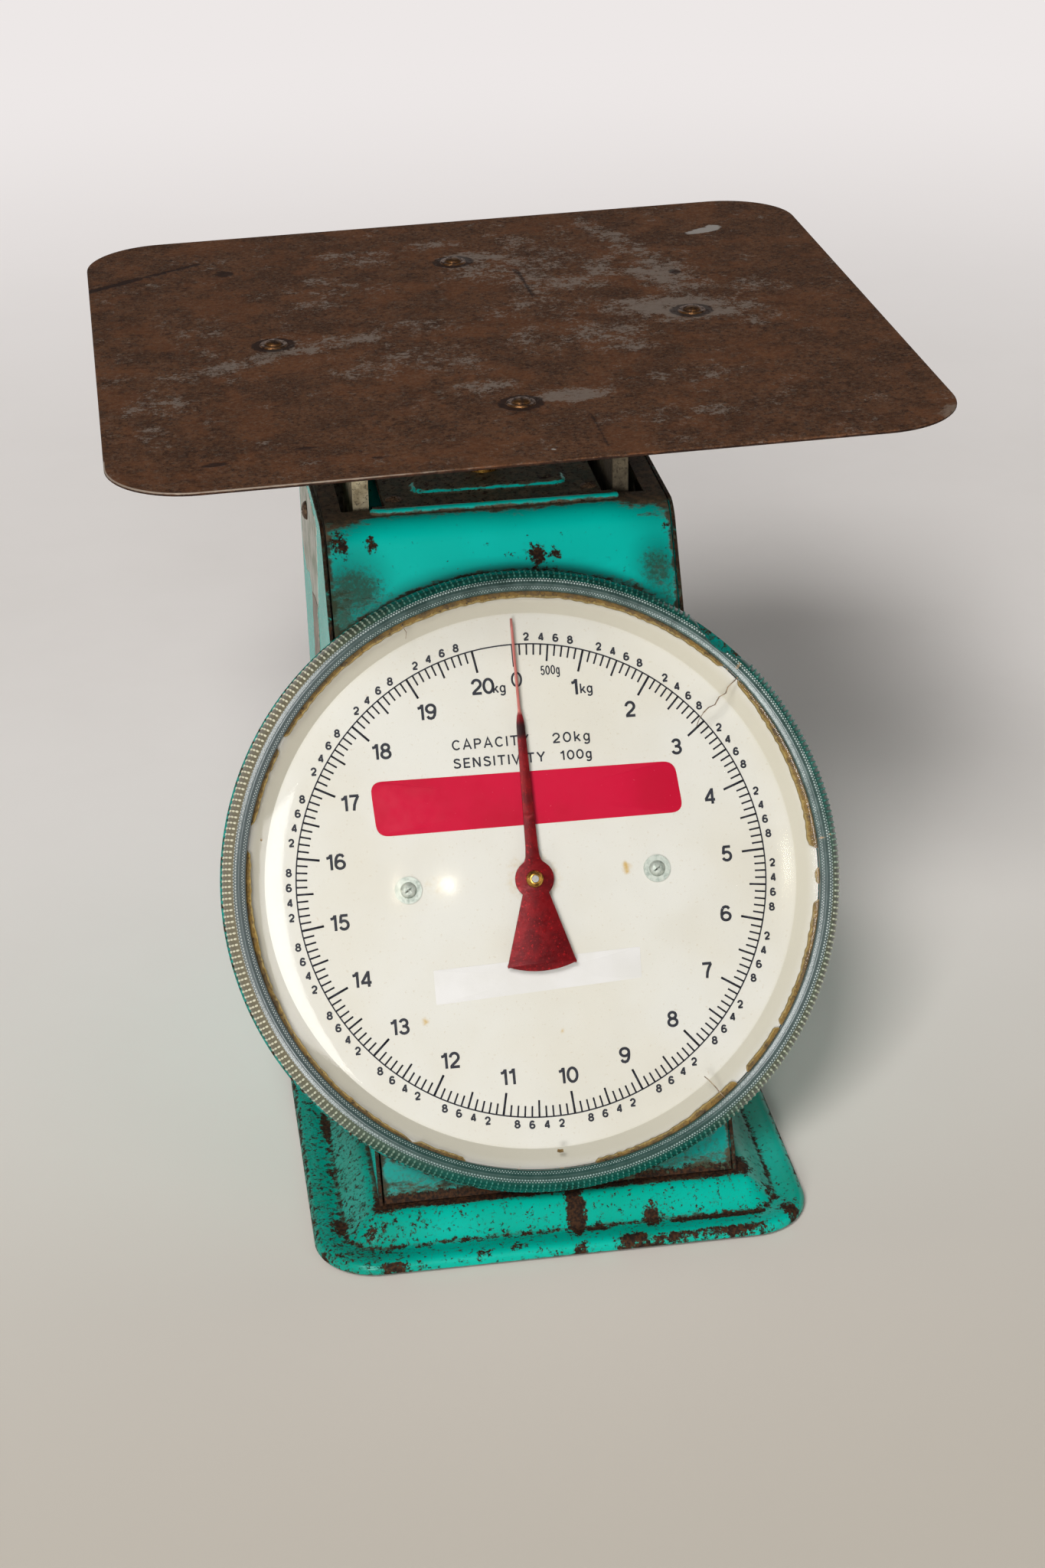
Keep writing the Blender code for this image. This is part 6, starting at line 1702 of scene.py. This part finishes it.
# The edge's top corner is painted light: bare at the rubbed right front corner, and along the front a
# painted highlight that is strongest to the left.
corner_rub = blot(on_sheet, 130, -122, 8, 10, 0, 0.55) * (outer_gap < 2.5)
edge_line = np.clip(1.4 - np.abs(outer_gap - 0.25) / 0.3, 0, 1)
edge_highlight_peak = np.where(on_sheet[:, 1] < -100, np.clip(0.3 - on_sheet[:, 0] / 130, 0.3, 0.8), 0.2)
worn_and_lit_edge = strongest(edge_line * edge_highlight_peak, corner_rub) * (sheet_points[:, 2] > platform_top - 0.6)
# The lower rows of the lip, its edge face and underside, are painted dark as painted shade.
scar = strongest(scar, 0.75 * (sheet_points[:, 2] < platform_top - 0.35))
rusted = Finish("rusted_platform", Specular_IOR_Level=0.06)
mottle = rusted.cloud(15, 8, 0.74)
brown = rusted.mixed(rusted.level(mottle, 0.38, 0.62), paint(66, 43, 29), paint(90, 60, 41))
fine = rusted.cloud(1.9, 7, 0.85, (1, 1, 1), 5.0)
brown = rusted.mixed(
    rusted.sums("MULTIPLY", rusted.level(fine, 0.48, 0.58), 0.85), brown, paint(36, 24, 18),
)
grit = rusted.level(rusted.cloud(1.1, 5, 0.8, (1, 1, 1), 7.0), 0.53, 0.62)
brown = rusted.mixed(rusted.sums("MULTIPLY", grit, 0.5), brown, paint(114, 82, 58))
red = rusted.level(rusted.cloud(24, 7, 0.7, (1, 1, 1), 8.0), 0.48, 0.6)
brown = rusted.mixed(rusted.sums("MULTIPLY", red, 0.4), brown, paint(106, 66, 41))
rub_cloud = rusted.cloud(10, 10, 0.76, (1, 1, 1), 2.0)
rub = rusted.ragged(rusted.mark("rubbed"), rub_cloud, 2.6, 0.32, 0.95)
speckle = rusted.level(rusted.cloud(1.6, 6, 0.84, (1, 1, 1), 3.0), 0.44, 0.58)
grey = rusted.level(rusted.sums("ADD", rub, rusted.sums("MULTIPLY", speckle, 0.7)), 0.46, 1.2)
colour = rusted.mixed(rusted.sums("MULTIPLY", grey, 0.85), brown, paint(118, 105, 94))
# Near-black over scars, and as painted shade on the edge face and underside.
scarred = rusted.ragged(rusted.mark("scar"), rusted.cloud(2.4, 4), 0.8, 0.4, 0.8)
colour = rusted.mixed(rusted.sums("MULTIPLY", scarred, 0.85), colour, paint(32, 22, 19))
colour = rusted.mixed(
    rusted.ragged(rusted.mark("pale"), rusted.cloud(2.2, 4), 0.7, 0.42, 0.62), colour, paint(150, 144, 138),
)
# Light grey on the edge's top corner: wear, and a painted highlight.
edge_wear_and_highlight = rusted.ragged(rusted.mark("edge"), rusted.cloud(4.0, 4, 0.6, (1, 1, 1), 3.0), 0.6, 0.35, 0.8)
rusted.lay(Base_Color=rusted.mixed(edge_wear_and_highlight, colour, paint(142, 128, 114)))
shine = rusted.sums("MAXIMUM", rusted.sums("MULTIPLY", grey, 0.7), edge_wear_and_highlight)
rusted.lay(Metallic=rusted.level(shine, 0, 1, 0.0, 0.3), Roughness=rusted.level(shine, 0, 1, 0.8, 0.5))
relief = rusted.sums("SUBTRACT", rusted.sums("MULTIPLY", fine, 0.5), rusted.sums("MULTIPLY", scarred, 0.4))
rusted.bumps(relief, 0.18)
platform = shape(
    "platform_sheet", askew(sheet_points), sheet_faces, rusted.material, rubbed=rubbed, pale=pale,
    scar=scar, edge=worn_and_lit_edge,
)
settle(platform, "carriage", "brown_steel", "platform_plate")

rivet = Recipe("Rivet head", Radius="Float", Height="Float", Rim="Float")
rim_top = rivet.sums("MULTIPLY", rivet["Radius"], 0.93)
rim_sizes = {"Vertices": 36, "Radius Top": rim_top, "Radius Bottom": rivet["Radius"], "Depth": rivet["Rim"]}
rivet_rim = rivet.add("GeometryNodeMeshCone", rim_sizes, "Mesh")
rivet_dome = rivet.add("GeometryNodeMeshUVSphere", {"Segments": 36, "Rings": 18, "Radius": 1.0})
dome_wide = rivet.sums("MULTIPLY", rivet["Radius"], 0.66)
dome_high = rivet.sums("SUBTRACT", rivet["Height"], rivet["Rim"])
dome_lift, dome_swell = rivet.vector(0.0, 0.0, rivet["Rim"]), rivet.vector(dome_wide, dome_wide, dome_high)
rivet_dome = rivet.add(
    "GeometryNodeTransform", {"Geometry": rivet_dome, "Translation": dome_lift, "Scale": dome_swell},
)
rivet_head = rivet.add("GeometryNodeJoinGeometry", {"Geometry": [rivet_rim, rivet_dome]})
rivet.close(
    rivet.add("GeometryNodeInstanceOnPoints", {"Points": rivet["Geometry"], "Instance": rivet_head})
)
rivet_metal = Finish("stained_rivet", Metallic=0.8)
verdigris = rivet_metal.level(rivet_metal.cloud(1.8, 5, 0.65), 0.42, 0.66)
rivet_metal.lay(
    Base_Color=rivet_metal.mixed(verdigris, paint(88, 58, 28), paint(38, 23, 15)),
    Roughness=rivet_metal.level(verdigris, 0, 1, 0.36, 0.7),
)
rivet_metal.bumps(rivet_metal.cloud(0.7, 4), 0.12)
rivet_seats = askew([(x + plate_middle[0], y + plate_middle[1], platform_top) for x, y in rivet_spots])
rivets = crease(
    rivet.grow(
        "platform_rivets", rivet_metal.material, points=rivet_seats, Radius=4.9, Height=1.9, Rim=0.55,
    )
)
fasten(rivets, "carriage", "brass", "rivet_front", "rivet_back", "rivet_left", "rivet_right")


# Floor, lights and camera
# A plain pale floor, painted darker towards the front as a painted fall-off of light, that fades into a
# pale backdrop; two large soft lights from the front left with small ones beside them, and a camera at
# the photograph's angle. The clear window is left out of the large lights, which would stand in it as
# white patches from other sides.
floor_half, backdrop_tone = 9000, paint(237, 232, 231)
floor_corners = [(x * floor_half, y * floor_half, 0) for x, y in ((-1, -1), (1, -1), (1, 1), (-1, 1))]
ground = Finish("pale_floor", Roughness=0.75, Specular_IOR_Level=0.15)
depth_axis = ground.add("ShaderNodeSeparateXYZ", {"Vector": ground.spot}, "Y")
# Darker towards the front: a painted fall-off of light on the floor.
ground_tone_and_falloff = ground.mixed(ground.level(depth_axis, -0.42, 0.3), paint(197, 189, 176), paint(252, 246, 241))
smudge = ground.level(ground.cloud(120, 5, 0.6), 0.35, 0.75)
ground.lay(
    Base_Color=ground.mixed(ground.sums("MULTIPLY", smudge, 0.07), ground_tone_and_falloff, paint(206, 198, 188))
)
rays = ground.add("ShaderNodeLightPath", {}, "Is Camera Ray").node.outputs
mirrored = ground.sums("MAXIMUM", rays["Is Glossy Ray"], rays["Is Transmission Ray"])
seen = ground.sums("MAXIMUM", rays["Is Camera Ray"], mirrored)
nearness = ground.add(
    "ShaderNodeVectorMath", {0: ground.spot, 1: (0.0, -0.2, 0.0)}, "Value", operation="DISTANCE",
)
backdrop = ground.add("ShaderNodeEmission", {"Color": backdrop_tone})
fading = ground.sums("MULTIPLY", seen, ground.level(nearness, 0.55, 1.8))
swept = ground.add("ShaderNodeMixShader", {0: fading, 1: ground.shader.outputs[0], 2: backdrop})
ground.tree.links.new(swept, ground.tree.nodes["Material Output"].inputs["Surface"])
floor = shape("floor", floor_corners, [(0, 1, 2, 3)], ground.material)

world = bpy.data.worlds.new("studio")
bpy.context.scene.world = world
world.use_nodes = True
sky = world.node_tree
looking = add_node(sky, "ShaderNodeTexCoord", {}, "Generated")
height = add_node(sky, "ShaderNodeSeparateXYZ", {"Vector": looking}, "Z")
glow = add_node(
    sky, "ShaderNodeMapRange",
    {"Value": height, "From Min": 0.55, "From Max": 0.95, "To Min": 0.04, "To Max": 0.155},
    interpolation_type="SMOOTHSTEP",
)
sky.nodes["Background"].inputs["Color"].default_value = (1.0, 0.985, 0.97, 1.0)
sky.links.new(glow, sky.nodes["Background"].inputs["Strength"])
far_wall = add_node(sky, "ShaderNodeBackground", {"Color": backdrop_tone})
rays = add_node(sky, "ShaderNodeLightPath", {}, "Is Camera Ray").node.outputs
mirrored = add_node(
    sky, "ShaderNodeMath", {0: rays["Is Glossy Ray"], 1: rays["Is Transmission Ray"]}, operation="MAXIMUM",
)
seen = add_node(sky, "ShaderNodeMath", {0: rays["Is Camera Ray"], 1: mirrored}, operation="MAXIMUM")
low_sky = add_node(
    sky, "ShaderNodeMapRange", {"Value": height, "From Min": 0.46, "From Max": 0.36},
    interpolation_type="SMOOTHSTEP",
)
wall_share = add_node(sky, "ShaderNodeMath", {0: seen, 1: low_sky}, operation="MULTIPLY")
room = add_node(
    sky, "ShaderNodeMixShader", {0: wall_share, 1: sky.nodes["Background"].outputs[0], 2: far_wall},
)
sky.links.new(room, sky.nodes["World Output"].inputs["Surface"])


def soft_light(name, place, aim, size, power, spread=180, tint=(1.0, 1.0, 1.0)):
    """A rectangular light aimed at a point, with its sizes in metres and its power in watts."""
    lamp = bpy.data.lights.new(name, "AREA")
    lamp.shape, lamp.energy, lamp.spread, lamp.color = "RECTANGLE", power, radians(spread), tint
    lamp.size, lamp.size_y = size
    holder = bpy.data.objects.new(name, lamp)
    holder.location = place
    holder.rotation_euler = (Vector(aim) - Vector(place)).to_track_quat("-Z", "Y").to_euler()
    bpy.context.collection.objects.link(holder)
    return holder


object_middle = (0.0, -0.05, 0.10)
large_lights = [
    soft_light("upper_left_light", (-1.18, -2.57, 2.98), object_middle, (1.2, 1.2), 103),
    soft_light("lower_left_light", (-1.05, -3.29, 0.89), object_middle, (0.95, 0.8), 67),
]
soft_light("glare_light", (-0.24, -2.36, 1.36), object_middle, (0.3, 0.6), 8)
soft_light("right_light", (1.74, -1.98, 1.60), object_middle, (1.2, 1.2), 3)
soft_light("background_light", (0.3, 3.0, 2.6), (0.3, 3.0, 0.0), (1.4, 1.4), 18, 110)
soft_light(
    "small_lamp", (0.0617, -0.911, 0.603), (-0.03, -0.084, 0.105), (0.008, 0.008), 0.0088,
    tint=(1.0, 0.9, 0.7),
)
not_mirrored = bpy.data.collections.new("large_lights_not_mirrored")
not_mirrored.objects.link(window)
not_mirrored.collection_objects[0].light_linking.link_state = "EXCLUDE"
for large_light in large_lights:
    large_light.light_linking.receiver_collection = not_mirrored

lens = bpy.data.cameras.new("camera")
lens.lens, lens.sensor_width = 65.846, 36.0
camera = bpy.data.objects.new("camera", lens)
camera_place = (-0.12209, -0.92535, 0.57147)
right = Vector((0.98860524, -0.14938238, -0.01856284))
down = Vector((-0.08384743, -0.44404579, -0.89207228))
forward = Vector((0.12501713, 0.88346377, -0.45151132))
camera_turn = Matrix((right, -down, -forward)).transposed().to_4x4()
camera.matrix_world = Matrix.Translation(camera_place) @ camera_turn
bpy.context.collection.objects.link(camera)
bpy.context.scene.camera = camera
bpy.context.scene.view_settings.view_transform = "Standard"
